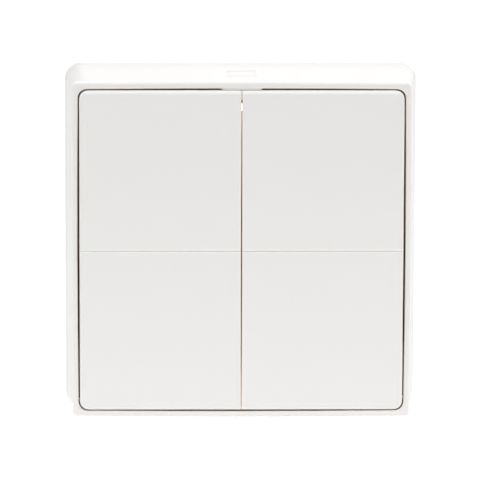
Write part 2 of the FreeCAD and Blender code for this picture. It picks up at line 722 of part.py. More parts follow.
def make_rocker_carrier():
    """Front cover of the housing, with the pivot lugs and pins of both rockers."""
    body = new_body("rocker_carrier")
    plate = front_sketch(body, "plate", CARRIER_REAR)
    straight_outline(plate, CARRIER_HALF, S["carrier_corner"])
    pad(body, plate, S["carrier_plate"])

    lip = front_sketch(body, "lip", CARRIER_REAR - S["carrier_lip_rise"])
    straight_outline(lip, LIP_OUTER, TRAY_INNER_CORNER)
    straight_outline(lip, LIP_INNER, TRAY_INNER_CORNER / 2)
    pad(body, lip, S["carrier_lip_rise"])

    posts = front_sketch(body, "posts", BOARD_FACE)
    for across, up in four_corners(POST):
        square(posts, across, up, S["carrier_post"])
    pad(body, posts, CARRIER_REAR - BOARD_FACE)
    threads = front_sketch(body, "threads", BOARD_FACE)
    for across, up in screw_places():
        circle(threads, across, up, S["screw_diameter"] + 2 * S["thread_fit"])
    thread_depth = S["screw_bite"] + S["carrier_plate"] / 2
    pocket(body, threads, thread_depth, along_normal=True)

    half = S["lug_width"] / 2
    lugs = front_sketch(body, "lugs", CARRIER_FACE)
    rectangle(lugs, -CARRIER_HALF, -LUG_INNER, -half, half)
    rectangle(lugs, -S["centre_lug"] / 2, S["centre_lug"] / 2, -half, half)
    rectangle(lugs, LUG_INNER, CARRIER_HALF, -half, half)
    pad(body, lugs, S["pin_rise"] + S["lug_top"])

    centre_pins = new_sketch(body, "centre_pins", "YZ_Plane")
    circle(centre_pins, -PIVOT, 0, S["pin_diameter"])
    pad(body, centre_pins, 2 * (INNER_CHEEK + S["cheek_wall"]), midplane=True)
    for side in (-1, 1):
        name = "left_pin" if side < 0 else "right_pin"
        pin = new_sketch(body, name, "YZ_Plane", side * (LUG_INNER + S["lug_wall"] / 2))
        circle(pin, -PIVOT, 0, S["pin_diameter"])
        length = LUG_INNER + S["lug_wall"] / 2 - OUTER_CHEEK
        pad(body, pin, length, reversed_way=side > 0)

    keys = front_sketch(body, "keys", CARRIER_FACE)
    for across in (-KEY_X, KEY_X):
        for up in (-KEY_Z, KEY_Z):
            square(keys, across, up, S["stem_diameter"] + 2 * S["stem_room"])
    pocket(body, keys, S["carrier_plate"])

    hole = front_sketch(body, "pipe_hole", CARRIER_FACE)
    wide = S["pipe_width"] / 2 + S["pipe_fit"]
    rectangle(hole, -wide, wide, PIPE_LOW - S["pipe_fit"], PIPE_HIGH + S["pipe_fit"])
    pocket(body, hole, S["carrier_plate"])
    relief = front_sketch(body, "pipe_relief", CARRIER_REAR)
    wide = S["pipe_width"] / 2 + S["pipe_shoulder"] + 2 * S["pipe_fit"]
    low = PIPE_LOW - S["pipe_shoulder"] - 2 * S["pipe_fit"]
    rectangle(relief, -wide, wide, low, TRAY_INNER)
    pocket(body, relief, S["carrier_lip_rise"])

    notch = front_sketch(body, "arm_notch", CARRIER_FACE)
    wide = S["nib_width"] / 2 + S["hook_clearance"]
    low = RING_OUTER - S["arm_wall"] - S["hook_clearance"]
    rectangle(notch, -wide, wide, low, REAR_HALF)
    pocket(body, notch, S["carrier_plate"])
    return body


def make_rocker(side):
    """One rocker: a rounded face wall with side walls, pivot cheeks, ribs and pads."""
    body = new_body("rocker_left" if side < 0 else "rocker_right")
    block = front_sketch(body, "block", WALL_END)
    crowned_outline(block, ROCKER_HALF, S["rocker_corner"], S["rocker_crown"])
    pad(body, block, S["skin"] + S["wall_drop"])

    # The half on the other side of the gap goes, along a gently bowed edge.
    away = front_sketch(body, "away", FACE)
    bow_away(away, side)
    half_block = pocket(body, away, S["skin"] + S["wall_drop"])
    middle_line = S["mid_gap"].value
    facing = edges_at(half_block, FACE, lambda box: abs(box.XMin + box.XMax) < 2 * middle_line)
    softened = bevel(body, half_block, facing, S["mid_bevel"])
    outer = edges_at(softened, FACE, lambda box: abs(box.XMin + box.XMax) > 4 * middle_line)
    fillet(body, softened, outer, S["face_round"])
    ends = new_sketch(body, "ends", "YZ_Plane")
    for way in (-1, 1):
        start = way * (ROCKER_HALF - S["end_slope"])
        tip = way * ROCKER_HALF
        polygon(ends, ((-FACE, start), (-(FACE - S["end_fall"]), tip), (-FACE, tip)))
    pocket(body, ends, APERTURE_HALF, along_normal=side > 0)

    hollow = front_sketch(body, "hollow", WALL_END)
    inner = S["mid_gap"] / 2 + S["side_wall"]
    outer = ROCKER_HALF - S["side_wall"]
    rectangle(hollow, *in_order(side * inner, side * outer), -outer, outer)
    pocket(body, hollow, S["wall_drop"], along_normal=True)

    half = S["lug_width"] / 2 + S["lug_room"]
    notches = front_sketch(body, "notches", WALL_END)
    rectangle(notches, *in_order(side * 0.0, side * INNER_CHEEK), -half, half)
    outer_notch = OUTER_CHEEK + S["cheek_wall"]
    rectangle(notches, *in_order(side * outer_notch, side * APERTURE_HALF), -half, half)
    low = PIPE_LOW - S["pipe_room"]
    high = PIPE_HIGH + S["pipe_room"]
    rectangle(notches, *in_order(side * 0.0, side * (inner + S["mid_gap"])), low, high)
    pocket(body, notches, S["wall_drop"], along_normal=True)

    cheeks = front_sketch(body, "cheeks", PIVOT - S["cheek_foot"])
    half = S["cheek_width"] / 2
    for start in (INNER_CHEEK, OUTER_CHEEK):
        ends = in_order(side * start, side * (start + S["cheek_wall"]))
        rectangle(cheeks, *ends, -half, half)
    pad(body, cheeks, S["cheek_foot"] + S["pivot_set"] + S["skin"] / 2)

    bore = new_sketch(body, "bore", "YZ_Plane")
    circle(bore, -PIVOT, 0, S["pin_diameter"] + 2 * S["pin_fit"])
    pocket(body, bore, outer, along_normal=side > 0)
    mouth = new_sketch(body, "mouth", "YZ_Plane")
    half = S["mouth_width"] / 2
    rectangle(mouth, -PIVOT, -(PIVOT - S["cheek_foot"]), -half, half)
    pocket(body, mouth, outer, along_normal=side > 0)

    ribs = front_sketch(body, "ribs", SKIN_INNER - S["rib_height"])
    for shift in (-S["rib_offset"], S["rib_offset"]):
        middle = side * (KEY_X + shift)
        rectangle(ribs, middle - S["rib_wall"] / 2, middle + S["rib_wall"] / 2, -outer, outer)
    pad(body, ribs, S["rib_height"])
    pads = front_sketch(body, "pads", SKIN_INNER - S["pad_rise"])
    for up in (-KEY_Z, KEY_Z):
        square(pads, side * KEY_X, up, S["pad_side"])
    pad(body, pads, S["pad_rise"] + S["skin"] / 2)

    groove = new_sketch(body, "groove", "YZ_Plane")
    half = S["groove_width"] / 2
    bottom = (-(FACE - S["groove_depth"]), S["groove_step"] - half)
    polygon(groove, ((-FACE, -half), bottom, (-FACE, half)))
    pocket(body, groove, APERTURE_HALF, along_normal=side > 0)
    return body


def bow_away(sketch, side):
    """Everything beyond the middle gap, with the bowed edge that faces the other rocker."""
    first = len(sketch.Geometry)
    big = S["mid_crown"].value
    edge = side * S["mid_gap"].value / 2
    top = APERTURE_HALF.value
    sag = big - math.sqrt(big * big - top * top)
    meet = edge - side * sag
    far = -side * APERTURE_HALF.value
    middle = edge - side * big
    swing = math.asin(top / big)
    start = -swing if side > 0 else math.pi - swing
    arc = corner_arc(Vector(middle, 0, 0), big, start, start + 2 * swing)
    sketch.addGeometry(arc, False)
    low_end = Vector(meet, -top, 0)
    high_end = Vector(meet, top, 0)
    if side < 0:
        low_end, high_end = high_end, low_end
    sketch.addGeometry(Part.LineSegment(high_end, Vector(far, high_end.y, 0)), False)
    sketch.addGeometry(Part.LineSegment(Vector(far, high_end.y, 0), Vector(far, low_end.y, 0)), False)
    sketch.addGeometry(Part.LineSegment(Vector(far, low_end.y, 0), low_end), False)
    for index in range(4):
        follower = first + (index + 1) % 4
        sketch.addConstraint(Sketcher.Constraint("Coincident", first + index, 2, follower, 1))
    sketch.addConstraint(Sketcher.Constraint("Horizontal", first + 1))
    sketch.addConstraint(Sketcher.Constraint("Vertical", first + 2))
    sketch.addConstraint(Sketcher.Constraint("Horizontal", first + 3))
    limit(sketch, "Radius", S["mid_crown"], first)
    place_point(sketch, first, 3, side * (S["mid_gap"] / 2 - S["mid_crown"]), 0)
    reach = APERTURE_HALF if side > 0 else -APERTURE_HALF
    place_point(sketch, first + 2, 1, -side * APERTURE_HALF, reach)
    limit(sketch, "DistanceY", -reach, -1, 1, first + 2, 2)


def make_circuit_board():
    """Circuit board on the housing's posts."""
    body = new_body("circuit_board")
    sheet = front_sketch(body, "sheet", BOARD_REAR)
    straight_outline(sheet, TRAY_INNER - S["board_clearance"], S["board_corner"])
    pad(body, sheet, S["board_thickness"])
    holes = front_sketch(body, "holes", BOARD_FACE)
    for across, up in screw_places():
        circle(holes, across, up, S["screw_diameter"] + 2 * S["screw_clearance"])
    pocket(body, holes, S["board_thickness"])
    return body


def stand_at(body, across, up):
    """Moves a body built on the axis to its place on the board."""
    bind(body, "Placement.Base.x", across)
    bind(body, "Placement.Base.z", up)


def make_key_switch(place, across, up):
    """Body of one key switch, with the room for the stem's flange."""
    body = new_body(f"switch_body_{place}")
    half = S["switch_side"] / 2
    block = front_sketch(body, "block", BOARD_FACE)
    rectangle(block, -half, half, -half, half)
    pad(body, block, S["switch_height"] - S["switch_cap"])
    room = front_sketch(body, "room", BOARD_FACE + S["switch_height"] - S["switch_cap"])
    square(room, as_dim(0.0), as_dim(0.0), S["flange_side"] + 2 * S["flange_room"])
    pocket(body, room, S["switch_cavity"])
    cap = front_sketch(body, "cap", BOARD_FACE + S["switch_height"] - S["switch_cap"])
    rectangle(cap, -half, half, -half, half)
    circle(cap, 0, 0, S["stem_diameter"] + 2 * S["stem_fit"])
    pad(body, cap, S["switch_cap"])
    stand_at(body, across, up)
    return body


def make_key_stem(place, across, up):
    """Stem of one key: a flanged pin from the switch to the rocker's pad."""
    body = new_body(f"key_stem_{place}")
    slack = (S["switch_cavity"] - S["flange_height"]) / 2
    foot = BOARD_FACE + S["switch_height"] - S["switch_cap"] - slack - S["flange_height"]
    tip = SKIN_INNER - S["pad_rise"] - S["key_gap"]
    flange = front_sketch(body, "flange", foot)
    square(flange, as_dim(0.0), as_dim(0.0), S["flange_side"])
    pad(body, flange, S["flange_height"])
    pin = front_sketch(body, "pin", foot)
    circle(pin, 0, 0, S["stem_diameter"])
    pad(body, pin, tip - foot)
    stand_at(body, across, up)
    return body


def make_block(name, wide, high, deep, at_depth, across, up):
    """A plain rectangular component on the board."""
    body = new_body(name)
    outline = front_sketch(body, "outline", at_depth)
    rectangle(outline, -wide / 2, wide / 2, -high / 2, high / 2)
    pad(body, outline, deep)
    stand_at(body, across, up)
    return body


def make_radio_module():
    """Radio module: its own small board under a pressed shield."""
    width = S["module_width"]
    height = S["module_height"]
    depth = S["module_base"]
    body = make_block("radio_module", width, height, depth, BOARD_FACE, -S["module_x"], 0.0)
    shield = front_sketch(body, "shield", BOARD_FACE + S["module_base"])
    half = S["module_width"] / 2 - S["module_border"]
    high = S["module_height"] / 2 - S["module_border"]
    low = S["module_height"] / 4 - high
    rectangle(shield, -half, half, low, high)
    pad(body, shield, S["module_can"])
    return body


def make_light_pipe():
    """Light pipe from the status light to the gap between the rockers."""
    body = new_body("light_pipe")
    start = BOARD_FACE + S["led_thickness"] + S["pipe_gap"]
    rod = front_sketch(body, "rod", start)
    half = S["pipe_width"] / 2
    rectangle(rod, -half, half, PIPE_LOW, PIPE_HIGH)
    pad(body, rod, PIPE_TIP - start)
    flange = front_sketch(body, "flange", CARRIER_REAR)
    wide = half + S["pipe_shoulder"]
    rectangle(flange, -wide, wide, PIPE_LOW - S["pipe_shoulder"], PIPE_HIGH)
    pad(body, flange, S["pipe_flange"], reversed_way=True)
    return body


def make_coin_cell():
    """Coin cell: a stepped disc with its smaller pole towards the board."""
    body = new_body("coin_cell")
    profile = new_sketch(body, "profile", "YZ_Plane")
    radius = S["cell_diameter"] / 2
    shoulder = CELL_FACE - S["cell_step"]
    small = radius - S["cell_step"]
    corners = (
        (-CELL_REAR, 0),
        (-CELL_REAR, radius),
        (-shoulder, radius),
        (-CELL_FACE, small),
        (-CELL_FACE, 0),
    )
    polygon(profile, corners)
    turned = body.newObject("PartDesign::Revolution", "cell_turned")
    turned.Profile = profile
    turned.ReferenceAxis = (profile, ["H_Axis"])
    turned.Angle = 360.0
    DOC.recompute()
    return body


def make_cell_holder():
    """Ring round the cell, with retaining tabs and a gap for the positive contact."""
    body = new_body("cell_holder")
    ring = front_sketch(body, "ring", FLOOR_FACE)
    circle(ring, 0, 0, 2 * HOLDER_OUTER)
    circle(ring, 0, 0, 2 * HOLDER_INNER)
    pad(body, ring, BOARD_REAR - FLOOR_FACE)
    tabs = front_sketch(body, "tabs", FLOOR_FACE)
    half = S["leaf_width"] / 2
    tip = HOLDER_INNER - S["holder_fit"] - S["holder_tab"]
    root = HOLDER_INNER + S["holder_wall"] / 2
    rectangle(tabs, -half, half, -root, -tip)
    rectangle(tabs, -half, half, tip, root)
    pad(body, tabs, CELL_REAR - FLOOR_FACE)
    slot = front_sketch(body, "slot", BOARD_REAR)
    half = S["holder_slot"] / 2
    rectangle(slot, 0, HOLDER_OUTER + S["holder_wall"], -half, half)
    pocket(body, slot, BOARD_REAR - FLOOR_FACE)
    return body


def make_contact_negative():
    """Leaf between the cell and the board."""
    body = new_body("contact_negative")
    leaf = front_sketch(body, "leaf", CELL_FACE)
    wide = S["leaf_length"] / 2
    high = S["leaf_width"] / 2
    rectangle(leaf, -wide, wide, -high, high)
    pad(body, leaf, S["leaf_thickness"])
    return body


def make_contact_positive():
    """Angled leaf against the cell's rim, with its foot soldered to the board."""
    body = new_body("contact_positive")
    near = S["cell_diameter"] / 2
    thick = near + S["leaf_thickness"]
    far = thick + S["foot_length"]
    ankle = BOARD_REAR - S["leaf_thickness"]
    profile = new_sketch(body, "profile", "XY_Plane")
    corners = (
        (near, -CELL_REAR),
        (thick, -CELL_REAR),
        (thick, -ankle),
        (far, -ankle),
        (far, -BOARD_REAR),
        (near, -BOARD_REAR),
    )
    polygon(profile, corners)
    pad(body, profile, S["leaf_width"], midplane=True)
    return body


def make_small_components():
    """Resistors and capacitors in rows on the board, as a group of solids."""
    blocks = []
    for row in range(PART_ROWS):
        for column in range(PART_COLUMNS):
            block = DOC.addObject("Part::Box", f"component_{row}_{column}")
            bind(block, "Length", S["part_width"])
            bind(block, "Width", S["part_height"])
            bind(block, "Height", S["part_length"])
            shift = column * S["part_pitch"] - S["part_width"] / 2
            bind(block, "Placement.Base.x", S["chip_x"] - S["chip_side"] / 2 + shift)
            bind(block, "Placement.Base.y", -BOARD_FACE - S["part_height"])
            level = S["chip_side"] + row * S["part_pitch"]
            bind(block, "Placement.Base.z", level)
            blocks.append(block)
    group = DOC.addObject("Part::Compound", "small_components")
    group.Label = "small_components"
    group.Links = blocks
    return group


def make_housing_screws():
    """Two screws from the rear housing into the carrier, as a group of solids."""
    screws = []
    seat = TRAY_REAR + S["head_sink"]
    end = BOARD_FACE + S["screw_bite"]
    for index, (across, up) in enumerate(screw_places(), 1):
        shank = DOC.addObject("Part::Cylinder", f"shank_{index}")
        bind(shank, "Radius", S["screw_diameter"] / 2)
        bind(shank, "Height", end - seat)
        head = DOC.addObject("Part::Cylinder", f"head_{index}")
        bind(head, "Radius", S["head_diameter"] / 2)
        bind(head, "Height", S["head_height"])
        for piece, depth in ((shank, seat), (head, seat - S["head_height"])):
            piece.Placement.Rotation = FreeCAD.Rotation(Vector(1, 0, 0), 90)
            bind(piece, "Placement.Base.x", across)
            bind(piece, "Placement.Base.y", -depth)
            bind(piece, "Placement.Base.z", up)
        screw = DOC.addObject("Part::MultiFuse", f"screw_{index}")
        screw.Shapes = [shank, head]
        screws.append(screw)
    group = DOC.addObject("Part::Compound", "housing_screws")
    group.Label = "housing_screws"
    group.Links = screws
    return group


def make_all():
    """Every sub-part of the switch."""
    pieces = [
        make_wall_plate(),
        make_front_frame(),
        make_rear_housing(),
        make_rocker_carrier(),
        make_rocker(-1),
        make_rocker(1),
        make_circuit_board(),
        make_radio_module(),
        make_light_pipe(),
        make_coin_cell(),
        make_cell_holder(),
        make_contact_negative(),
        make_contact_positive(),
        make_small_components(),
        make_housing_screws(),
    ]
    for place, across, up in (
        ("upper_left", -KEY_X, KEY_Z),
        ("upper_right", KEY_X, KEY_Z),
        ("lower_left", -KEY_X, -KEY_Z),
        ("lower_right", KEY_X, -KEY_Z),
    ):
        pieces.append(make_key_switch(place, across, up))
        pieces.append(make_key_stem(place, across, up))
    led = (S["led_width"], S["led_height"], S["led_thickness"])
    pieces.append(make_block("status_light", *led, BOARD_FACE, 0.0, PIPE_HEIGHT))
    chip = (S["chip_side"], S["chip_side"], S["chip_height"])
    pieces.append(make_block("microcontroller", *chip, BOARD_FACE, S["chip_x"], 0.0))
    crystal = (S["crystal_width"], S["crystal_height"], S["crystal_thickness"])
    pieces.append(make_block("timing_crystal", *crystal, BOARD_FACE, S["crystal_x"], 0.0))
    return pieces


def check_document(pieces):
    """Stops the build if a feature failed or a piece has no sound solid."""
    for item in DOC.Objects:
        if "Invalid" in item.State or "Error" in item.State:
            raise RuntimeError(f"{item.Name} failed: {item.State}")
    for piece in pieces:
        shape = piece.Shape
        if shape.isNull() or not shape.isValid() or not shape.Solids:
            raise RuntimeError(f"{piece.Label} has no valid solid")


PIECES = make_all()
DOC.recompute()
check_document(PIECES)
os.makedirs("parts", exist_ok=True)
for each in PIECES:
    each.Shape.exportStep(f"parts/{each.Label}.step")
    print(each.Label, len(each.Shape.Solids), round(each.Shape.Volume, 2))
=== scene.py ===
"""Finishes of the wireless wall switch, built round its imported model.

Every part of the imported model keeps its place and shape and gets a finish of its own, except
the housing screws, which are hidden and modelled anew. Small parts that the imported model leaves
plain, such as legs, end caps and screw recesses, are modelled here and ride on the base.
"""

import logging
import math
from dataclasses import dataclass
from enum import Enum
from functools import cache, cached_property
from typing import Any, Callable, Optional, Sequence, Union

import bmesh
import bpy
from mathutils import Matrix, Vector


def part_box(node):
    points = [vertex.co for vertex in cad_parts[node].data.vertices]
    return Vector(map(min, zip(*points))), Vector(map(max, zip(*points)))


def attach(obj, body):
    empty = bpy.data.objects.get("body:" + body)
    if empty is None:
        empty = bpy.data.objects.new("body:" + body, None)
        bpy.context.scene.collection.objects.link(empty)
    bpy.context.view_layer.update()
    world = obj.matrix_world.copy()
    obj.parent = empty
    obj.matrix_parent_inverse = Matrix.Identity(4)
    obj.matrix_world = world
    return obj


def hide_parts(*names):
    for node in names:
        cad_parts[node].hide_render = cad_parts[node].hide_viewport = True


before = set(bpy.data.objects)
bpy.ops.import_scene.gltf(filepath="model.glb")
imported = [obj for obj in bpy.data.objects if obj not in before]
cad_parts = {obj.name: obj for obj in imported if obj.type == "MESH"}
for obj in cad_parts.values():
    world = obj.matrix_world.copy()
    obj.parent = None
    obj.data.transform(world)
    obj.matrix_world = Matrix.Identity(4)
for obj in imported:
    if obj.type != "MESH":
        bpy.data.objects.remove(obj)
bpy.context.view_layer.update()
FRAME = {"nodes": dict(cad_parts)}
LOG = logging.getLogger("wall_switch")

MM = 0.001
MICRON = 1e-6
EDGE = 0.1 * MM
FINE_EDGE = 0.06 * MM
NEAR_COSINE = 0.9
NEAREST_COSINE = 0.99
SMOOTH_ANGLE = math.radians(35)
LIGHT_WHITE = (1.0, 1.0, 1.0)

Colour = tuple[float, float, float]
Point = tuple[float, float, float]
Value = Union["Wire", float, Colour]
Pair = tuple[float, float]
Sockets = dict[Union[str, int], Value]
Form = bpy.types.Object
Forms = list[Form]


class Slot(Enum):
    """Material slots of the record, passed along with the new pieces but not used."""

    PLATE = "plate_plastic"
    FRAME = "frame_plastic"
    SHIELD = "shield_metal"
    HOLDER = "holder_plastic"
    SPRING = "spring_metal"
    SCREW = "screw_steel"
    LIGHT = "light_plastic"


class Texture(Enum):
    """Moulded surface textures, as the size of a grain and the height of its relief."""

    SATIN = (140 * MICRON, 5 * MICRON)
    FINE_MATT = (110 * MICRON, 8 * MICRON)
    COARSE_MATT = (220 * MICRON, 16 * MICRON)
    POLISHED = (400 * MICRON, 1 * MICRON)


class Way(Enum):
    """Directions in which the faces of a piece can look."""

    FRONT = (0.0, -1.0, 0.0)
    REAR = (0.0, 1.0, 0.0)
    RIGHT = (1.0, 0.0, 0.0)
    UP = (0.0, 0.0, 1.0)


class Measure(Enum):
    """Distances on the object that a tone can follow."""

    AWAY = "from the wall"
    ACROSS = "from the middle, to the left or right"
    UP = "from a height, above or below it"
    SQUARE = "from the middle, the larger of across and up"
    ROUND = "from a square about the middle"


def operator(operation: str, swapped: bool = False) -> Callable[..., "Wire"]:
    """Makes one of Python's operators for wires.

    Args:
        operation: operation of the Math node that it adds.
        swapped: whether the wire stands second.

    Returns:
        The operator's method.
    """

    def method(wire: "Wire", *others: Value) -> "Wire":
        """Adds the node."""
        values = (*others, wire) if swapped else (wire, *others)
        return wire.sheet.maths(operation, *values)

    return method


class Wire:
    """An output of a node, which Python's operators turn into further nodes."""

    __add__ = operator("ADD")
    __radd__ = operator("ADD", swapped=True)
    __sub__ = operator("SUBTRACT")
    __rsub__ = operator("SUBTRACT", swapped=True)
    __mul__ = operator("MULTIPLY")
    __rmul__ = operator("MULTIPLY", swapped=True)
    __truediv__ = operator("DIVIDE")
    __abs__ = operator("ABSOLUTE")
    __or__ = operator("MAXIMUM")

    def __init__(self, sheet: "NodeSheet", socket: bpy.types.NodeSocket) -> None:
        """Keeps the output and the sheet that its node is on."""
        self.sheet = sheet
        self.socket = socket


class NodeSheet:
    """The nodes of one material, or of the studio's surroundings."""

    def __init__(self, tree: bpy.types.NodeTree) -> None:
        """Clears the tree of nodes and keeps it."""
        self.tree = tree
        self.tree.nodes.clear()

    def node(self, kind: str, sockets: Optional[Sockets] = None, **settings: Any) -> bpy.types.Node:
        """Makes one node.

        Args:
            kind: type of the node after the word ShaderNode, such as TexNoise.
            sockets: a value or a wire for each of its inputs that needs one.
            settings: its settings, which are set before its sockets.

        Returns:
            The node.
        """
        node = self.tree.nodes.new("ShaderNode" + kind)
        for name, setting in settings.items():
            setattr(node, name, setting)
        for name, value in (sockets or {}).items():
            socket = node.inputs[name]
            if isinstance(value, Wire):
                self.tree.links.new(value.socket, socket)
            else:
                socket.default_value = (*value, 1.0) if socket.type == "RGBA" else value
        return node

    def wire(
        self, kind: str, sockets: Optional[Sockets] = None, output: Union[str, int] = 0, **settings: Any
    ) -> Wire:
        """One output of a new node, which is made from its type, sockets and settings."""
        return Wire(self, self.node(kind, sockets, **settings).outputs[output])

    def maths(self, operation: str, *values: Value) -> Wire:
        """One step of arithmetic on a number or two."""
        return self.wire("Math", dict(enumerate(values)), operation=operation)

    @cached_property
    def place(self) -> Wire:
        """The point of the surface in the piece's own frame, in metres."""
        return self.wire("TexCoord", output="Object")

    def parts(self, vector: Wire) -> tuple[Wire, Wire, Wire]:
        """The three numbers of a vector."""
        first, second, third = self.node("SeparateXYZ", {0: vector}).outputs
        return Wire(self, first), Wire(self, second), Wire(self, third)

    def joined(self, first: Value, second: Value, third: Value) -> Wire:
        """A vector of three numbers."""
        return self.wire("CombineXYZ", {0: first, 1: second, 2: third})

    def stretched(self, vector: Wire, factors: Point) -> Wire:
        """A vector with each of its numbers multiplied by its own factor."""
        return self.wire("VectorMath", {0: vector, 1: factors}, operation="MULTIPLY")

    def scaled(self, colour: Value, factor: Value) -> Wire:
        """A colour or vector made stronger or weaker by a factor."""
        return self.wire("VectorMath", {0: colour, 3: factor}, operation="SCALE")

    def mixed(self, factor: Value, first: Value, second: Value) -> Wire:
        """The first colour, turning into the second as the factor goes to one."""
        return self.wire("Mix", {0: factor, 6: first, 7: second}, 2, data_type="RGBA")

    def rise(self, value: Value, start: float, end: float) -> Wire:
        """A smooth step from zero at the start to one at the end."""
        sockets = {0: value, 1: start, 2: end}
        return self.wire("MapRange", sockets, interpolation_type="SMOOTHSTEP")

    def noise(self, size: float, detail: float = 2.0, point: Optional[Wire] = None) -> Wire:
        """Soft noise that swings by half about zero, with features of a size in metres."""
        sockets = {"Vector": point or self.place, "Scale": 1.0 / size, "Detail": detail}
        return self.wire("TexNoise", sockets) - 0.5

    def bump(self, height: Wire, relief: float) -> Wire:
        """The surface's normal, tilted by a relief of a height in metres."""
        return self.wire("Bump", {"Distance": relief, "Height": height})

    def white(self, kind: str, strength: float) -> Wire:
        """A node that shines in plain white with a strength."""
        return self.wire(kind, {"Color": LIGHT_WHITE, "Strength": strength})

    def blended(self, factor: Value, first: Wire, second: Wire) -> Wire:
        """Two shaders, the second one showing as the factor goes to one."""
        return self.wire("MixShader", {0: factor, 1: first, 2: second})

    def seen_ray(self) -> Wire:
        """One for what the camera sees, straight, mirrored or through, and zero for light."""
        rays = self.node("LightPath").outputs
        straight, mirrored, through = (
            Wire(self, rays[f"Is {kind} Ray"]) for kind in ("Camera", "Glossy", "Transmission")
        )
        return straight | mirrored | through


@dataclass(frozen=True)
class Step:
    """A smooth step of a mask along a distance.

    Args:
        measure: the distance.
        start: where the mask is still zero.
        end: where it has become one.
        origin: height or half side from which the distance is taken, where it has one.
    """

    measure: Measure
    start: float
    end: float
    origin: float = 0.0

    def mask(self, sheet: NodeSheet) -> Wire:
        """Lays the step out as nodes.

        Args:
            sheet: the sheet for the nodes.

        Returns:
            Zero before the step and one after it.
        """
        across, deep, up = sheet.parts(sheet.place)
        if self.measure is Measure.AWAY:
            distance = deep * -1.0
        elif self.measure is Measure.ACROSS:
            distance = abs(across)
        elif self.measure is Measure.UP:
            distance = abs(up - self.origin)
        elif self.measure is Measure.SQUARE:
            distance = abs(across) | abs(up)
        else:
            side = (abs(across) - self.origin) | 0.0
            rise = (abs(up) - self.origin) | 0.0
            distance = sheet.maths("SQRT", side * side + rise * rise)
        return sheet.rise(distance, self.start, self.end)


def within(measure: Measure, limit: float, soft: float, origin: float = 0.0) -> Step:
    """The step that keeps what lies within a limit, and fades over a soft distance about it."""
    return Step(measure, limit + soft, limit - soft, origin)


@dataclass(frozen=True)
class Tone:
    """A colour laid over the part of a surface that all its steps keep."""

    colour: Colour
    steps: tuple[Step, ...]

    def mask(self, sheet: NodeSheet) -> Wire:
        """One where the tone lies."""
        return math.prod(step.mask(sheet) for step in self.steps)


@dataclass(frozen=True)
class Finish:
    """A finish of parts and pieces, with the name of the material that it makes."""

    name: str

    @cache
    def material(self) -> bpy.types.Material:
        """Makes the material when it is first asked for.

        Returns:
            The material.
        """
        material = bpy.data.materials.new(self.name)
        material.use_nodes = True
        sheet = NodeSheet(material.node_tree)
        sheet.node("OutputMaterial", {"Surface": self.shader(sheet)})
        return material

    def shader(self, sheet: NodeSheet) -> Wire:
        """The general surface shader with the finish's own sockets."""
        return sheet.wire("BsdfPrincipled", self.sockets(sheet))

    def sockets(self, sheet: NodeSheet) -> Sockets:
        """What feeds the shader, here nothing.

        Args:
            sheet: the material's sheet of nodes.

        Returns:
            A value or a wire for each socket that needs one.
        """
        return {}


@dataclass(frozen=True)
class MouldedPlastic(Finish):
    """Plastic from a textured mould, with painted light and shade over parts of it, the last one on top.

    Fleck is how much each grain differs in tone, and mottling how much the tone drifts over a
    piece, with drifts of a size in metres.
    """

    colour: Colour
    texture: Texture = Texture.SATIN
    roughness: float = 0.5
    painted_tones: tuple[Tone, ...] = ()
    fleck: float = 0.03
    mottling: float = 0.012
    drift: float = 14 * MM

    def sockets(self, sheet: NodeSheet) -> Sockets:
        """Grain, drifts and painted light and shade."""
        size, relief = self.texture.value
        grain = sheet.noise(size)
        cloud = sheet.noise(self.drift, 3.0)
        colour = sheet.scaled(self.colour, 1.0 + grain * self.fleck + cloud * self.mottling)
        # painted light and shade: each tone covers the colour where its mask keeps it
        for tone in self.painted_tones:
            colour = sheet.mixed(tone.mask(sheet), colour, tone.colour)
        return {
            "Base Color": colour,
            "Roughness": self.roughness + grain * 0.10 + cloud * 0.06,
            "IOR": 1.53,
            "Normal": sheet.bump(grain, relief),
        }


@dataclass(frozen=True)
class ClearPlastic(Finish):
    """Clear moulded plastic, which can have a painted white glow between two distances from the wall."""

    colour: Colour
    glow: float = 0.0
    tip: Pair = (0.0, 1.0)

    def sockets(self, sheet: NodeSheet) -> Sockets:
        """Faint ripples, and the painted glow at the tip."""
        ripple = sheet.noise(600 * MICRON)
        return {
            "Base Color": sheet.scaled(self.colour, 1.0 + ripple * 0.04),
            "Roughness": 0.17 + ripple * 0.10,
            "IOR": 1.49,
            "Transmission Weight": 0.6,
            # painted glow: the tip shines white by itself
            "Emission Color": sheet.scaled(LIGHT_WHITE, Step(Measure.AWAY, *self.tip).mask(sheet)),
            "Emission Strength": self.glow,
            "Normal": sheet.bump(ripple, 2 * MICRON),
        }


@dataclass(frozen=True)
class Metal(Finish):
    """Rolled, pressed or turned metal, with faint stains of handling.

    Its marks are longer than wide by the streak, and run round the depth axis where it is turned.
    """

    colour: Colour
    roughness: float = 0.3
    streak: float = 14.0
    turned: bool = False
    stain: Colour = (0.42, 0.40, 0.37)

    def sockets(self, sheet: NodeSheet) -> Sockets:
        """Marks of the rolls or of the lathe, and faint stains."""
        marks = sheet.noise(90 * MICRON, 3.0, self._along_marks(sheet))
        worn = sheet.rise(sheet.noise(2.4 * MM, 4.0), 0.06, 0.24)
        base = sheet.scaled(self.colour, 1.0 + marks * 0.12)
        return {
            "Base Color": sheet.mixed(worn * 0.35, base, self.stain),
            "Metallic": 1.0,
            "Roughness": self.roughness + marks * 0.22 + worn * 0.15,
            "Normal": sheet.bump(marks, 3 * MICRON),
        }

    def _along_marks(self, sheet: NodeSheet) -> Wire:
        """The point of the surface, drawn out along the marks.

        Args:
            sheet: the material's sheet of nodes.

        Returns:
            The point, or its radius and depth on a turned piece.
        """
        if not self.turned:
            return sheet.stretched(sheet.place, (1.0, 1.0, 1.0 / self.streak))
        across, deep, up = sheet.parts(sheet.place)
        return sheet.joined(sheet.maths("SQRT", across * across + up * up), deep, 0.0)


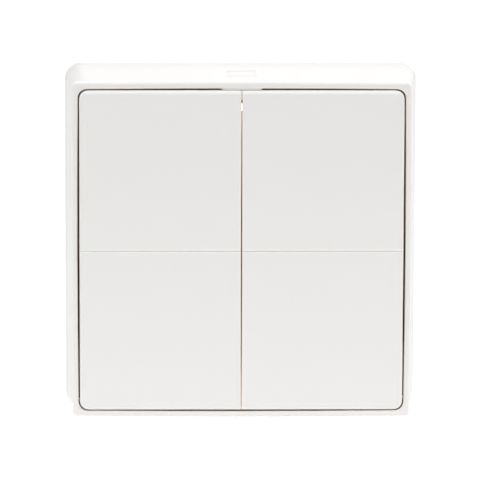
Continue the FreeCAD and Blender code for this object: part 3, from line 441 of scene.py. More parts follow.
@dataclass(frozen=True)
class Laminate(Finish):
    """Glass laminate of a circuit board under solder mask, with a bare edge.

    Copper tracks a lane apart run the same way within a field, and round pads lie among them.
    """

    mask: Colour
    track: Colour
    edge: Colour
    half_side: float
    bare_start: float = 0.25 * MM
    bare_end: float = 0.1 * MM
    field: float = 5.4 * MM
    lane: float = 0.9 * MM
    pad_pitch: float = 4.2 * MM

    def sockets(self, sheet: NodeSheet) -> Sockets:
        """Copper and weave under the mask, and the bare rim."""
        across, _, up = sheet.parts(sheet.place)
        flat = sheet.joined(across, up, 0.0)
        pads = sheet.wire("TexVoronoi", {"Vector": flat, "Scale": 1.0 / self.pad_pitch})
        copper = self._tracks(sheet, flat) | sheet.rise(pads, 0.13, 0.09)
        weave = sheet.noise(300 * MICRON, 2.0, sheet.stretched(sheet.place, (1.0, 1.0, 0.25)))
        face = sheet.mixed(copper, sheet.scaled(self.mask, 1.0 + weave * 0.12), self.track)
        half = self.half_side
        bare = Step(Measure.SQUARE, half - self.bare_start, half - self.bare_end).mask(sheet)
        return {
            "Base Color": sheet.mixed(bare, face, self.edge),
            "Roughness": 0.40 + weave * 0.12 + bare * 0.3,
            "IOR": 1.52,
            "Normal": sheet.bump(copper + weave * 0.2, 25 * MICRON),
        }

    def _tracks(self, sheet: NodeSheet, flat: Wire) -> Wire:
        """Lays out straight tracks, which run across in some fields and up in others.

        Args:
            sheet: the material's sheet of nodes.
            flat: the point across and up.

        Returns:
            One on a track.
        """
        fields = {"Vector": flat, "Scale": 1.0 / self.field, "Randomness": 0.0}
        tint = sheet.wire("TexVoronoi", fields, "Color", distance="CHEBYCHEV")
        choice, spread, _ = sheet.parts(tint)
        across, up, _ = sheet.parts(flat)
        level = sheet.rise(choice, 0.50, 0.51)
        crossing = up * level + across * (1.0 - level)
        lane = abs(sheet.maths("FRACT", crossing / self.lane) - 0.5)
        return sheet.rise(lane, 0.17, 0.13) * sheet.rise(spread, 0.30, 0.31)


@dataclass(frozen=True)
class ShieldedBoard(Finish):
    """Small dark board with a tinned can on it, which starts at a level in front of the wall."""

    mask: Colour
    tin: Colour
    level: float

    def sockets(self, sheet: NodeSheet) -> Sockets:
        """Metal on the can and solder mask behind it, both with a fine grain."""
        grain = sheet.noise(120 * MICRON)
        can = Step(Measure.AWAY, self.level + 5 * MICRON, self.level + 15 * MICRON).mask(sheet)
        return {
            "Base Color": sheet.scaled(sheet.mixed(can, self.mask, self.tin), 1.0 + grain * 0.12),
            "Metallic": can,
            "Roughness": 0.42 - can * 0.08 + grain * 0.15,
            "Normal": sheet.bump(grain, 4 * MICRON),
        }


@dataclass(frozen=True)
class Ceramic(Finish):
    """Fired ceramic of the small parts on the board."""

    colour: Colour

    def sockets(self, sheet: NodeSheet) -> Sockets:
        """Specks and soft clouds."""
        speck = sheet.noise(60 * MICRON, 3.0)
        cloud = sheet.noise(900 * MICRON)
        return {
            "Base Color": sheet.scaled(self.colour, 1.0 + speck * 0.2 + cloud * 0.1),
            "Roughness": 0.55 + speck * 0.2,
            "Normal": sheet.bump(speck, 4 * MICRON),
        }


@dataclass(frozen=True)
class LiftedPaint(Finish):
    """Matt paint that looks brighter, by a lift, than its light makes it."""

    colour: Colour
    lift: float

    def shader(self, sheet: NodeSheet) -> Wire:
        """Plain paint for light, and paint with a glow for what is seen."""
        tone = 1.0 + sheet.noise(0.2) * 0.03
        matt = sheet.wire("BsdfDiffuse", {"Color": sheet.scaled(self.colour, tone)})
        glow = sheet.white("Emission", self.lift)
        lifted = sheet.wire("AddShader", {0: matt, 1: glow})
        return sheet.blended(sheet.seen_ray(), matt, lifted)


def linear(*parts: int) -> Colour:
    """A colour as it looks on a screen, turned into the shader's own numbers.

    Args:
        parts: its red, green and blue, from 0 to 255.

    Returns:
        The colour as three linear numbers from 0 to 1.
    """
    shares = [part / 255 for part in parts]
    red, green, blue = (s / 12.92 if s <= 0.04045 else ((s + 0.055) / 1.055) ** 2.4 for s in shares)
    return red, green, blue


def dress(finish: Finish, *names: str) -> Forms:
    """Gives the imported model's own parts a finish, in all their slots.

    Args:
        finish: the finish.
        names: the parts.

    Returns:
        The parts.
    """
    parts = [FRAME["nodes"][name] for name in names]
    for part in parts:
        for slot in part.material_slots:
            slot.material = finish.material()
    return parts


def depth_of(name: str) -> float:
    """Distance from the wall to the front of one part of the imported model."""
    return -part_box(name)[0][1]


def middle_of(name: str) -> Vector:
    """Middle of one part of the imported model."""
    low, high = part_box(name)
    return (Vector(low) + Vector(high)) / 2


def turned_about(axis: Vector, angle: float) -> Matrix:
    """A turn by an angle about an axis that runs from the wall to the viewer."""
    return Matrix.Translation(axis) @ Matrix.Rotation(angle, 4, "Y") @ Matrix.Translation(-axis)


class Piece:
    """A new piece, which stays open for shaping until it is copied, joined or finished."""

    def __init__(self, form: Form) -> None:
        """Keeps the object that holds the piece's mesh."""
        self.form = form

    @classmethod
    def started(cls, name: str) -> "Piece":
        """Names the form that was just added, moves its place into its mesh and opens it.

        Args:
            name: name of the piece.

        Returns:
            The piece.
        """
        piece = cls(bpy.context.object)
        piece.form.name = name
        bpy.ops.object.transform_apply(location=True, rotation=True, scale=True)
        piece.open()
        return piece

    @classmethod
    def block(cls, name: str, low: Sequence[float], high: Sequence[float]) -> "Piece":
        """Starts a piece from a block.

        Args:
            name: name of the piece.
            low: its lowest corner.
            high: its highest corner.

        Returns:
            The piece.
        """
        cls.clear()
        bpy.ops.mesh.primitive_cube_add(size=1.0)
        bpy.context.object.scale = Vector(high) - Vector(low)
        bpy.context.object.location = (Vector(high) + Vector(low)) / 2
        return cls.started(name)

    @classmethod
    def disc(cls, name: str, axis: Vector, radius: float, ends: Pair, sides: int) -> "Piece":
        """Starts a piece from a disc that faces the wall and the viewer.

        Args:
            name: name of the piece.
            axis: a point of its axis.
            radius: its radius.
            ends: its rear and front as distances from the wall.
            sides: number of its sides.

        Returns:
            The piece.
        """
        rear, front = ends
        cls.clear()
        bpy.ops.mesh.primitive_cylinder_add(
            vertices=sides,
            radius=radius,
            depth=front - rear,
            location=(axis.x, -(rear + front) / 2, axis.z),
            rotation=(math.pi / 2, 0, 0),
        )
        return cls.started(name)

    @staticmethod
    def clear() -> None:
        """Closes the piece that is open, if there is one, and selects nothing."""
        if bpy.context.mode != "OBJECT":
            bpy.ops.object.mode_set(mode="OBJECT")
        bpy.ops.object.select_all(action="DESELECT")

    def hold(self) -> None:
        """Closes what is open and selects the piece alone."""
        self.clear()
        self.form.select_set(True)
        bpy.context.view_layer.objects.active = self.form

    def open(self) -> None:
        """Opens the piece for shaping."""
        self.hold()
        bpy.ops.object.mode_set(mode="EDIT")

    def pick(
        self, way: Way, cosine: float = NEAR_COSINE, keep: Callable[[Vector], bool] = lambda spot: True
    ) -> None:
        """Picks the faces of the open piece that look in one direction.

        Args:
            way: the direction.
            cosine: least cosine of the angle between a face's direction and this one.
            keep: a further test of a face's middle.
        """
        bpy.ops.mesh.select_mode(type="FACE")
        bpy.ops.mesh.select_all(action="DESELECT")
        sheet = bmesh.from_edit_mesh(self.form.data)
        for face in sheet.faces:
            ahead = face.normal.dot(Vector(way.value)) > cosine
            face.select_set(ahead and keep(face.calc_center_median()))
        bmesh.update_edit_mesh(self.form.data)

    @staticmethod
    def soften(width: float, segments: int = 2) -> None:
        """Rounds every edge of the open piece."""
        bpy.ops.mesh.select_all(action="SELECT")
        bpy.ops.mesh.bevel(offset=width, segments=segments, affect="EDGES")

    @staticmethod
    def draw_out(move: Point, taper: Point, centre: Sequence[float]) -> None:
        """Draws the picked faces out by a move and scales their new end about a centre."""
        bpy.ops.mesh.extrude_region_move(TRANSFORM_OT_translate={"value": move})
        bpy.ops.transform.resize(value=taper, center_override=centre)

    def modify(self, kind: str, **settings: Any) -> None:
        """Changes the piece by a modifier.

        Args:
            kind: type of the modifier.
            settings: its settings.
        """
        self.hold()
        modifier = self.form.modifiers.new(kind.lower(), kind)
        for name, setting in settings.items():
            setattr(modifier, name, setting)
        bpy.ops.object.modifier_apply(modifier=modifier.name)

    def spread(self, moves: Sequence[Matrix]) -> None:
        """Copies the piece to more places and joins the copies to it.

        Args:
            moves: the moves that take it to the others.
        """
        self.hold()
        copies = []
        for move in moves:
            copy = Piece(self.form.copy())
            copy.form.data = self.form.data.copy()
            copy.form.data.transform(move)
            bpy.context.scene.collection.objects.link(copy.form)
            copies.append(copy)
        self.join(*copies)

    def join(self, *others: "Piece") -> None:
        """Joins other pieces to this one."""
        self.hold()
        for other in others:
            other.form.select_set(True)
        bpy.ops.object.join()

    def finish(self, finish: Finish, slot: Slot) -> Form:
        """Turns the faces outwards and puts the piece on the base.

        Args:
            finish: its finish.
            slot: the record's slot for it, which is not used.

        Returns:
            The finished object.
        """
        self.open()
        bpy.ops.mesh.select_all(action="SELECT")
        bpy.ops.mesh.normals_make_consistent(inside=False)
        self.hold()
        bpy.ops.object.shade_smooth_by_angle(angle=SMOOTH_ANGLE)
        self.form.data.materials.clear()
        self.form.data.materials.append(finish.material())
        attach(self.form, "base")
        return self.form


WHITE = linear(231, 230, 228)
# painted shade: the frame turns darker towards the wall
WALL_SHADE = linear(223, 222, 220)
# painted shade, warm and dim, on the frame's walls inside the gaps
GAP_SHADE = linear(202, 154, 112)
# painted shade, warm and dim, on the rockers' walls inside the gaps
ROCKER_GAP_SHADE = linear(222, 194, 166)
# painted shade, dark brown, on the plate where it shows through the side gaps
STRIP_SHADE = linear(196, 132, 84)
# painted highlight, lighter than the plastic, in the groove across the rockers
GROOVE_HIGHLIGHT = linear(241, 241, 239)
# painted highlight along the rockers' upper ends
TOP_END_HIGHLIGHT = linear(243, 242, 240)
# painted light: a warm glow on the plastic's edges beside the gaps
WARM_EDGE_GLOW = linear(237, 230, 221)
# painted shade: a dark spot in the mid gap above the light pipe
DARK_SPOT_SHADE = linear(40, 38, 36)
CATCH_WHITE = MouldedPlastic("catch_white", WHITE)
HOLDER_BLACK = MouldedPlastic("holder_black", linear(34, 34, 35), Texture.FINE_MATT, 0.5)
SOLDER_TIN = Metal("solder_tin", (0.75, 0.75, 0.76), 0.3)


@dataclass
class OuterShell:
    """The frame that shows round the rockers, and the plate behind it on the wall."""

    opening_half: float = 37.0 * MM
    opening_reach: float = 37.12 * MM
    opening_corner: float = 2.1 * MM
    # width of the painted warm glow on the frame round the opening
    edge_glow_width: float = 0.5 * MM
    # painted shade in the gap: none at the first depth behind the rim, full at the second
    shade_start: float = 0.3 * MM
    shade_end: float = 1.8 * MM
    plate_face: float = 2.0 * MM
    strip_inner: float = 36.4 * MM
    strip_outer: float = 37.9 * MM
    # painted shade near the wall: full within the first distance from it, gone at the second
    wall_shade_start: float = 0.4 * MM
    wall_shade_end: float = 8.0 * MM
    collar_half: float = 3.29 * MM
    collar_ends: Pair = (8.01 * MM, 13.99 * MM)
    collar_top: float = 39.17 * MM
    collar_fall: float = 0.79 * MM
    collar_height: float = 0.9 * MM
    collar_round: float = 0.03 * MM
    nib_half: float = 4.4 * MM
    nib_ends: Pair = (19.3 * MM, 19.92 * MM)
    nib_heights: Pair = (36.63 * MM, 37.02 * MM)
    nib_round: float = 0.05 * MM

    def build(self) -> Forms:
        """Dresses both parts and adds what closes the catch from the outside.

        Returns:
            The parts and pieces.
        """
        frame = MouldedPlastic("frame_white", WHITE, painted_tones=self._frame_painted_light())
        # the plate carries painted shade below the side gaps
        plate = MouldedPlastic("plate_white", WHITE, Texture.FINE_MATT, 0.55, (self._strip_shade(),))
        parts = dress(frame, "front_frame") + dress(plate, "wall_plate")
        return parts + [self._collar(), self._nib()]

    def _frame_painted_light(self) -> tuple[Tone, ...]:
        """Painted shade at the wall, painted glow round the opening, painted shade in the gap.

        Returns:
            The tones, in the order in which they are laid.
        """
        rim = depth_of("front_frame")
        straight = self.opening_half - self.opening_corner
        faded = self.opening_corner + self.edge_glow_width
        deeper = Step(Measure.AWAY, rim - self.shade_start, rim - self.shade_end)
        return (
            # painted shade, darker towards the wall
            Tone(WALL_SHADE, (Step(Measure.AWAY, self.wall_shade_end, self.wall_shade_start),)),
            # painted warm glow round the edge of the opening
            Tone(WARM_EDGE_GLOW, (Step(Measure.ROUND, faded, self.opening_corner, straight),)),
            # painted shade on the frame's walls inside the gap
            Tone(GAP_SHADE, (deeper, within(Measure.SQUARE, self.opening_reach, EDGE))),
        )

    def _strip_shade(self) -> Tone:
        """Painted brown shade on two strips of the plate, which lie below the side gaps.

        Returns:
            The tone.
        """
        face = Step(Measure.AWAY, self.plate_face - 2 * EDGE, self.plate_face - EDGE)
        outside = Step(Measure.ACROSS, self.strip_inner - EDGE, self.strip_inner + EDGE)
        return Tone(STRIP_SHADE, (face, within(Measure.ACROSS, self.strip_outer, EDGE), outside))

    def _collar(self) -> Form:
        """The step round the catch tooth, just below the skirt, which closes its window.

        Returns:
            The piece.
        """
        rear, front = self.collar_ends
        half = self.collar_half
        low = (-half, -front, self.collar_top - self.collar_height)
        collar = Piece.block("catch_collar", low, (half, -rear, self.collar_top))
        collar.pick(Way.FRONT)
        bpy.ops.transform.translate(value=(0.0, 0.0, -self.collar_fall))
        collar.soften(self.collar_round)
        return collar.finish(CATCH_WHITE, Slot.PLATE)

    def _nib(self) -> Form:
        """The rounded face of the nib in front of the catch.

        Returns:
            The piece.
        """
        rear, front = self.nib_ends
        bottom, top = self.nib_heights
        nib = Piece.block("catch_nib", (-self.nib_half, -front, bottom), (self.nib_half, -rear, top))
        nib.soften(self.nib_round)
        return nib.finish(CATCH_WHITE, Slot.FRAME)


@dataclass
class RockerPair:
    """The two rockers side by side."""

    # painted shade on the rockers' walls: none at the first depth behind the face, full at the second
    shade_start: float = 0.8 * MM
    shade_end: float = 2.2 * MM
    # height, half height, depth behind the face where it starts, and half width of the painted dark spot
    dark_spot_height: float = 34.1 * MM
    dark_spot_half: float = 0.3 * MM
    dark_spot_start: float = 0.03 * MM
    dark_spot_reach: float = 0.3 * MM
    # half width of the painted warm glow along the mid gap
    edge_glow_reach: float = 0.36 * MM
    # half height and soft edge of the painted highlight in the groove
    groove_half: float = 0.33 * MM
    groove_soft: float = 0.03 * MM
    # height, half height and soft edge of the painted highlight along the rockers' upper ends
    end_height: float = 36.6 * MM
    end_half: float = 0.75 * MM
    end_soft: float = 0.45 * MM

    def build(self) -> Forms:
        """Dresses both rockers, with painted highlights, a painted warm glow and painted shade.

        Returns:
            The rockers.
        """
        face = depth_of("rocker_left")
        # painted shade: a dark spot on the rockers' walls in the mid gap
        dark = face - self.dark_spot_start
        dark_spot = (
            within(Measure.UP, self.dark_spot_half, FINE_EDGE, self.dark_spot_height),
            within(Measure.ACROSS, self.dark_spot_reach, FINE_EDGE),
            Step(Measure.AWAY, dark, dark - FINE_EDGE),
        )
        painted_tones = (
            # painted highlight in the groove
            Tone(GROOVE_HIGHLIGHT, (within(Measure.UP, self.groove_half, self.groove_soft),)),
            # painted highlight along the rockers' upper ends
            Tone(TOP_END_HIGHLIGHT, (within(Measure.UP, self.end_half, self.end_soft, self.end_height),)),
            # painted warm glow along the mid gap
            Tone(WARM_EDGE_GLOW, (within(Measure.ACROSS, self.edge_glow_reach, FINE_EDGE),)),
            # painted shade on the rockers' walls inside the gaps
            Tone(ROCKER_GAP_SHADE, (Step(Measure.AWAY, face - self.shade_start, face - self.shade_end),)),
            # painted dark spot of shade in the mid gap
            Tone(DARK_SPOT_SHADE, dark_spot),
        )
        return dress(MouldedPlastic("rocker_white", WHITE, painted_tones=painted_tones), "rocker_left", "rocker_right")


@dataclass
class CarrierAndHousing:
    """The cover with the pivots and the tray behind it."""

    roughness: float = 0.6

    def build(self) -> Forms:
        """Dresses the parts.

        Returns:
            The parts.
        """
        # the cover's own tan, made darker and browner to stand in for the warm shade seen through the gaps
        tan, grey = linear(190, 152, 116), linear(196, 196, 194)
        cover = MouldedPlastic("carrier_tan", tan, Texture.FINE_MATT, self.roughness)
        tray = MouldedPlastic("housing_grey", grey, Texture.COARSE_MATT, self.roughness)
        return dress(cover, "rocker_carrier") + dress(tray, "rear_housing")


@dataclass
class HousingScrews:
    """The two screws of the housing, with cross recess and thread."""

    head_radius: float = 1.9 * MM
    head_height: float = 1.3 * MM
    head_round: float = 0.35 * MM
    head_sides: int = 32
    slot_width: float = 0.55 * MM
    slot_reach: float = 1.15 * MM
    slot_depth: float = 0.75 * MM
    slot_over: float = 0.2 * MM
    slot_taper: Point = (0.45, 1.0, 0.7)
    core_radius: float = 0.78 * MM
    core_sunk: float = 0.05 * MM
    core_sides: int = 20
    crest_radius: float = 1.0 * MM
    pitch: float = 0.8 * MM
    steps: int = 16
    tip_length: float = 0.6 * MM
    tip_taper: Point = (0.3, 1.0, 0.3)

    def __post_init__(self) -> None:
        """Takes the first screw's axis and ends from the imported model."""
        low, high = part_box("housing_screws")
        self.axis = Vector((low[0] + self.head_radius, 0.0, high[2] - self.head_radius))
        self.rear, self.tip = -high[1], -low[1]
        self.neck = self.rear + self.head_height

    def build(self) -> Forms:
        """Models one screw, copies it to the other corner and dresses both.

        Returns:
            The piece with both screws.
        """
        screw = self._head()
        screw.join(self._shank(), self._thread())
        screw.spread([Matrix.Translation(-2 * self.axis)])
        both = screw.finish(Metal("screw_steel", (0.62, 0.62, 0.63), 0.32, 1.0), Slot.SCREW)
        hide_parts("housing_screws")
        return [both]

    def _head(self) -> Piece:
        """The rounded head with its cross recess.

        Returns:
            The head.
        """
        ends = (self.rear, self.neck)
        head = Piece.disc("housing_screws_threaded", self.axis, self.head_radius, ends, self.head_sides)
        head.pick(Way.REAR)
        bpy.ops.mesh.bevel(offset=self.head_round, segments=4, affect="EDGES")
        cross = self._cross().form
        head.modify("BOOLEAN", operation="DIFFERENCE", solver="EXACT", use_self=True, object=cross)
        bpy.data.objects.remove(cross)
        return head

    def _cross(self) -> Piece:
        """The form of the driver: two crossed blades that narrow towards their ends.

        Returns:
            The form.
        """
        across, _, up = self.axis
        bottom = -(self.rear + self.slot_depth)
        half = self.slot_width / 2
        low = (across - self.slot_reach, bottom, up - half)
        high = (across + self.slot_reach, self.slot_over - self.rear, up + half)
        blade = Piece.block("driver", low, high)
        blade.pick(Way.FRONT)
        bpy.ops.transform.resize(value=self.slot_taper, center_override=(across, bottom, up))
        blade.spread([turned_about(self.axis, math.pi / 2)])
        return blade

    def _shank(self) -> Piece:
        """The core of the shank with its pointed tip.

        Returns:
            The core.
        """
        ends = (self.neck - self.core_sunk, self.tip - self.tip_length)
        core = Piece.disc("core", self.axis, self.core_radius, ends, self.core_sides)
        core.pick(Way.FRONT)
        end = (self.axis.x, -self.tip, self.axis.z)
        core.draw_out((0.0, -self.tip_length, 0.0), self.tip_taper, end)
        return core

    def _thread(self) -> Piece:
        """The ridge of the thread, wound round the core from a triangle.

        Returns:
            The ridge.
        """
        Piece.clear()
        bpy.ops.mesh.primitive_plane_add(size=math.sqrt(2.0), rotation=(0, 0, math.pi / 4))
        ridge = Piece.started("thread")
        bpy.ops.mesh.select_mode(type="VERT")
        bpy.ops.mesh.select_all(action="DESELECT")
        sheet = bmesh.from_edit_mesh(ridge.form.data)
        for corner in sheet.verts:
            corner.select_set(corner.co.x < -0.5)
        bmesh.update_edit_mesh(ridge.form.data)
        bpy.ops.mesh.delete(type="VERT")
        bpy.ops.mesh.select_all(action="SELECT")
        rise = self.crest_radius - self.core_radius
        bpy.ops.transform.resize(value=(rise, self.pitch / 2, 1.0), center_override=(0, 0, 0))
        bpy.ops.transform.translate(value=(self.core_radius, -self.neck - self.pitch, 0.0))
        length = self.tip - self.tip_length - self.neck
        ridge.modify(
            "SCREW",
            axis="Y",
            angle=2 * math.pi,
            screw_offset=-self.pitch,
            iterations=max(1, int(length / self.pitch) - 1),
            steps=self.steps,
            render_steps=self.steps,
            use_merge_vertices=True,
            merge_threshold=0.5 * MICRON,
        )
        ridge.form.data.transform(Matrix.Translation(self.axis))
        return ridge


@dataclass
class LightGuide:
    """The status light and the clear pipe to the gap, whose tip has a painted white glow."""

    # strength and place of the painted glow at the pipe's tip
    glow: float = 2.6
    glow_start: float = 0.4 * MM
    glow_end: float = 0.05 * MM
    lens_radius: float = 0.34 * MM
    lens_sunk: float = 0.05 * MM
    lens_proud: float = 0.03 * MM
    lens_sides: int = 24
    lens_steps: tuple[Pair, ...] = ((0.06 * MM, 0.04 * MM), (0.1 * MM, 0.03 * MM))

    def build(self) -> Forms:
        """Dresses the parts.

        Returns:
            The parts and the lens.
        """
        end = depth_of("light_pipe")
        tip = (end - self.glow_start, end - self.glow_end)
        pipe = ClearPlastic("pipe_clear", (0.90, 0.93, 0.95), self.glow, tip)
        package = MouldedPlastic("light_white", linear(236, 232, 214), Texture.POLISHED, 0.3)
        return dress(pipe, "light_pipe") + dress(package, "status_light") + [self._lens()]

    def _lens(self) -> Form:
        """The low dome of resin over the light.

        Returns:
            The piece.
        """
        front = depth_of("status_light")
        ends = (front - self.lens_sunk, front + self.lens_proud)
        centre = middle_of("status_light")
        dome = Piece.disc("status_light_lens", centre, self.lens_radius, ends, self.lens_sides)
        dome.pick(Way.FRONT)
        for inset, rise in self.lens_steps:
            bpy.ops.mesh.inset(thickness=inset, depth=rise)
        return dome.finish(ClearPlastic("lens_clear", (0.95, 0.94, 0.80)), Slot.LIGHT)


@dataclass
class KeyBank:
    """Four key switches with their stems. The legs are modelled at the first one."""

    places: tuple[str, ...] = ("upper_right", "upper_left", "lower_left", "lower_right")
    leg_width: float = 0.7 * MM
    leg_pitch: float = 4.5 * MM
    leg_rise: float = 1.2 * MM
    leg_sheet: float = 0.2 * MM
    leg_foot: float = 0.9 * MM
    foot_taper: Point = (1.0, 0.4, 1.2)

    def build(self) -> Forms:
        """Dresses the switches and the stems.

        Returns:
            The parts and the legs.
        """
        black = MouldedPlastic("switch_black", linear(38, 38, 40), Texture.FINE_MATT, 0.5)
        ivory = MouldedPlastic("stem_ivory", linear(226, 220, 206), Texture.SATIN, 0.42)
        parts = dress(black, *(f"switch_body_{place}" for place in self.places))
        parts += dress(ivory, *(f"key_stem_{place}" for place in self.places))
        return parts + [self._legs()]

    def _legs(self) -> Form:
        """Four bent legs at each switch, soldered to the board.

        Returns:
            The piece with all the legs.
        """
        model, *others = (f"switch_body_{place}" for place in self.places)
        low, (side, board, _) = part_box(model)
        centre = middle_of(model)
        first = centre.z - self.leg_pitch / 2
        half = self.leg_width / 2
        start = (side, board - self.leg_rise, first - half)
        leg = Piece.block("switch_legs", start, (side + self.leg_sheet, board, first + half))
        leg.pick(Way.RIGHT)
        bpy.ops.mesh.subdivide(number_cuts=2)
        leg.pick(Way.RIGHT, keep=lambda spot: spot.y > board - self.leg_rise / 3)
        leg.draw_out((self.leg_foot, 0.0, 0.0), self.foot_taper, (side, board, first))
        turn = turned_about(centre, math.pi)
        step = Matrix.Translation((0.0, 0.0, self.leg_pitch))
        leg.spread([step, turn, turn @ step])
        leg.spread([Matrix.Translation(Vector(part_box(other)[0]) - Vector(low)) for other in others])
        return leg.finish(Metal("leg_tin", (0.72, 0.71, 0.69), 0.3), Slot.SPRING)


@dataclass
class Electronics:
    """The circuit board and what is soldered to it."""

    board_half: float = 33.35 * MM
    component_width: float = 0.8 * MM
    component_height: float = 1.6 * MM
    component_pitch: float = 2.4 * MM
    component_grid: tuple[int, int] = (5, 2)
    cap_length: float = 0.3 * MM
    cap_skin: float = 0.02 * MM
    cap_round: float = 0.05 * MM
    cap_taper: Point = (0.9, 0.12, 1.0)
    solder_foot: float = 0.25 * MM
    pad_pitch: float = 0.5 * MM
    pads_per_side: int = 8
    pad_width: float = 0.26 * MM
    pad_rise: float = 0.22 * MM
    pad_sunk: float = 0.02 * MM
    pad_round: float = 0.02 * MM
    pad_taper: Point = (1.0, 0.2, 0.85)
    antenna_left: float = 1.4 * MM
    antenna_heights: Pair = (0.9 * MM, 3.6 * MM)
    antenna_bars: int = 10
    antenna_pitch: float = 0.9 * MM
    antenna_width: float = 0.35 * MM
    antenna_skin: float = 0.04 * MM
    antenna_crown: Pair = (0.05 * MM, 0.01 * MM)
    module_board: float = 0.6 * MM
    can_border: float = 0.8 * MM
    can_bottom: float = 4.55 * MM
    lid_skin: float = 0.06 * MM
    lid_proud: float = 0.12 * MM
    lid_side: float = 0.25 * MM
    lid_round: float = 0.1 * MM
    field_inset: float = 0.9 * MM
    field_step: Pair = (0.12 * MM, 0.06 * MM)

    def build(self) -> Forms:
        """Dresses the parts.

        Returns:
            The parts and the pieces on them.
        """
        mask, track, bare = linear(24, 84, 56), linear(44, 116, 76), linear(186, 178, 128)
        face = self.module_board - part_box("radio_module")[1][1]
        bright = (0.74, 0.73, 0.71)
        chip = MouldedPlastic("chip_black", linear(30, 30, 31), Texture.FINE_MATT, 0.55)
        parts = dress(Laminate("board_green", mask, track, bare, self.board_half), "circuit_board")
        parts += dress(Metal("shield_tin", bright, 0.36), "timing_crystal")
        parts += dress(ShieldedBoard("module_dark", linear(22, 32, 52), bright, face), "radio_module")
        parts += dress(chip, "microcontroller")
        parts += dress(Ceramic("ceramic_tan", linear(150, 118, 84)), "small_components")
        return parts + [self._caps(), self._joints(), self._antenna(), self._lid()]

    def _caps(self) -> Form:
        """Tinned end caps with their solder, on both ends of the ten small components.

        Returns:
            The piece with all the caps.
        """
        low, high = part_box("small_components")
        skin = self.cap_skin
        middle = low[0] + self.component_width / 2
        top = low[2] + self.component_height
        start = (low[0] - skin, low[1] - skin, top - self.cap_length)
        end = (low[0] + self.component_width + skin, high[1], top + skin)
        cap = Piece.block("component_caps", start, end)
        cap.pick(Way.FRONT)
        bpy.ops.mesh.bevel(offset=self.cap_round, segments=2, affect="EDGES")
        cap.pick(Way.UP)
        cap.draw_out((0.0, 0.0, self.solder_foot), self.cap_taper, (middle, high[1], top))
        cap.spread([turned_about(Vector((middle, 0.0, low[2] + self.component_height / 2)), math.pi)])
        columns, rows = self.component_grid
        cells = [(column, 0.0, row) for column in range(columns) for row in range(rows)]
        cap.spread([Matrix.Translation(Vector(cell) * self.component_pitch) for cell in cells[1:]])
        return cap.finish(SOLDER_TIN, Slot.SHIELD)

    def _joints(self) -> Form:
        """Solder joints round the edge of the microcontroller.

        Returns:
            The piece with all the joints.
        """
        side, board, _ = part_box("microcontroller")[1]
        centre = middle_of("microcontroller")
        half = self.pad_width / 2
        first = centre.z - self.pad_pitch * (self.pads_per_side - 1) / 2
        start = (side - self.pad_sunk, board - self.pad_rise, first - half)
        joint = Piece.block("chip_joints", start, (side + self.solder_foot, board, first + half))
        joint.pick(Way.RIGHT)
        bpy.ops.transform.resize(value=self.pad_taper, center_override=(side, board, first))
        joint.soften(self.pad_round)
        steps = [index * self.pad_pitch for index in range(1, self.pads_per_side)]
        joint.spread([Matrix.Translation((0.0, 0.0, step)) for step in steps])
        joint.spread([turned_about(centre, quarter * math.pi / 2) for quarter in (1, 2, 3)])
        return joint.finish(SOLDER_TIN, Slot.SHIELD)

    def _antenna(self) -> Form:
        """The gold-plated meander at the free end of the radio module's board.

        Returns:
            The piece.
        """
        low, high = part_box("radio_module")
        face = high[1] - self.module_board
        half = self.antenna_width / 2
        bottom, top = (low[2] + height for height in self.antenna_heights)
        spans = []
        for bar in range(self.antenna_bars):
            across = low[0] + self.antenna_left + bar * self.antenna_pitch
            spans.append((across - half, bottom, across + half, top))
            if bar < self.antenna_bars - 1:
                level = top if bar % 2 else bottom
                right = across + self.antenna_pitch + half
                spans.append((across - half, level - half, right, level + half))
        bars = []
        inset, rise = self.antenna_crown
        for left, lower, right, upper in spans:
            front = (left, face - self.antenna_skin, lower)
            bar = Piece.block("module_antenna", front, (right, face, upper))
            bar.pick(Way.FRONT)
            bpy.ops.mesh.inset(thickness=inset, depth=rise)
            bars.append(bar)
        bars[0].join(*bars[1:])
        return bars[0].finish(Metal("antenna_gold", (0.80, 0.62, 0.32), 0.35), Slot.SPRING)

    def _lid(self) -> Form:
        """The pressed lid of the radio module's shield, with a raised field.

        Returns:
            The piece.
        """
        low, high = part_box("radio_module")
        inside = self.can_border - self.lid_skin
        bottom = low[2] + self.can_bottom - self.lid_skin
        start = (low[0] + inside, low[1] - self.lid_proud, bottom)
        lid = Piece.block("module_lid", start, (high[0] - inside, low[1] + self.lid_side, high[2] - inside))
        lid.soften(self.lid_round, 3)
        lid.pick(Way.FRONT, NEAREST_COSINE)
        inset, rise = self.field_step
        bpy.ops.mesh.inset(thickness=self.field_inset, depth=0.0)
        bpy.ops.mesh.inset(thickness=inset, depth=rise)
        return lid.finish(Metal("lid_tin", (0.76, 0.75, 0.73), 0.3), Slot.SHIELD)


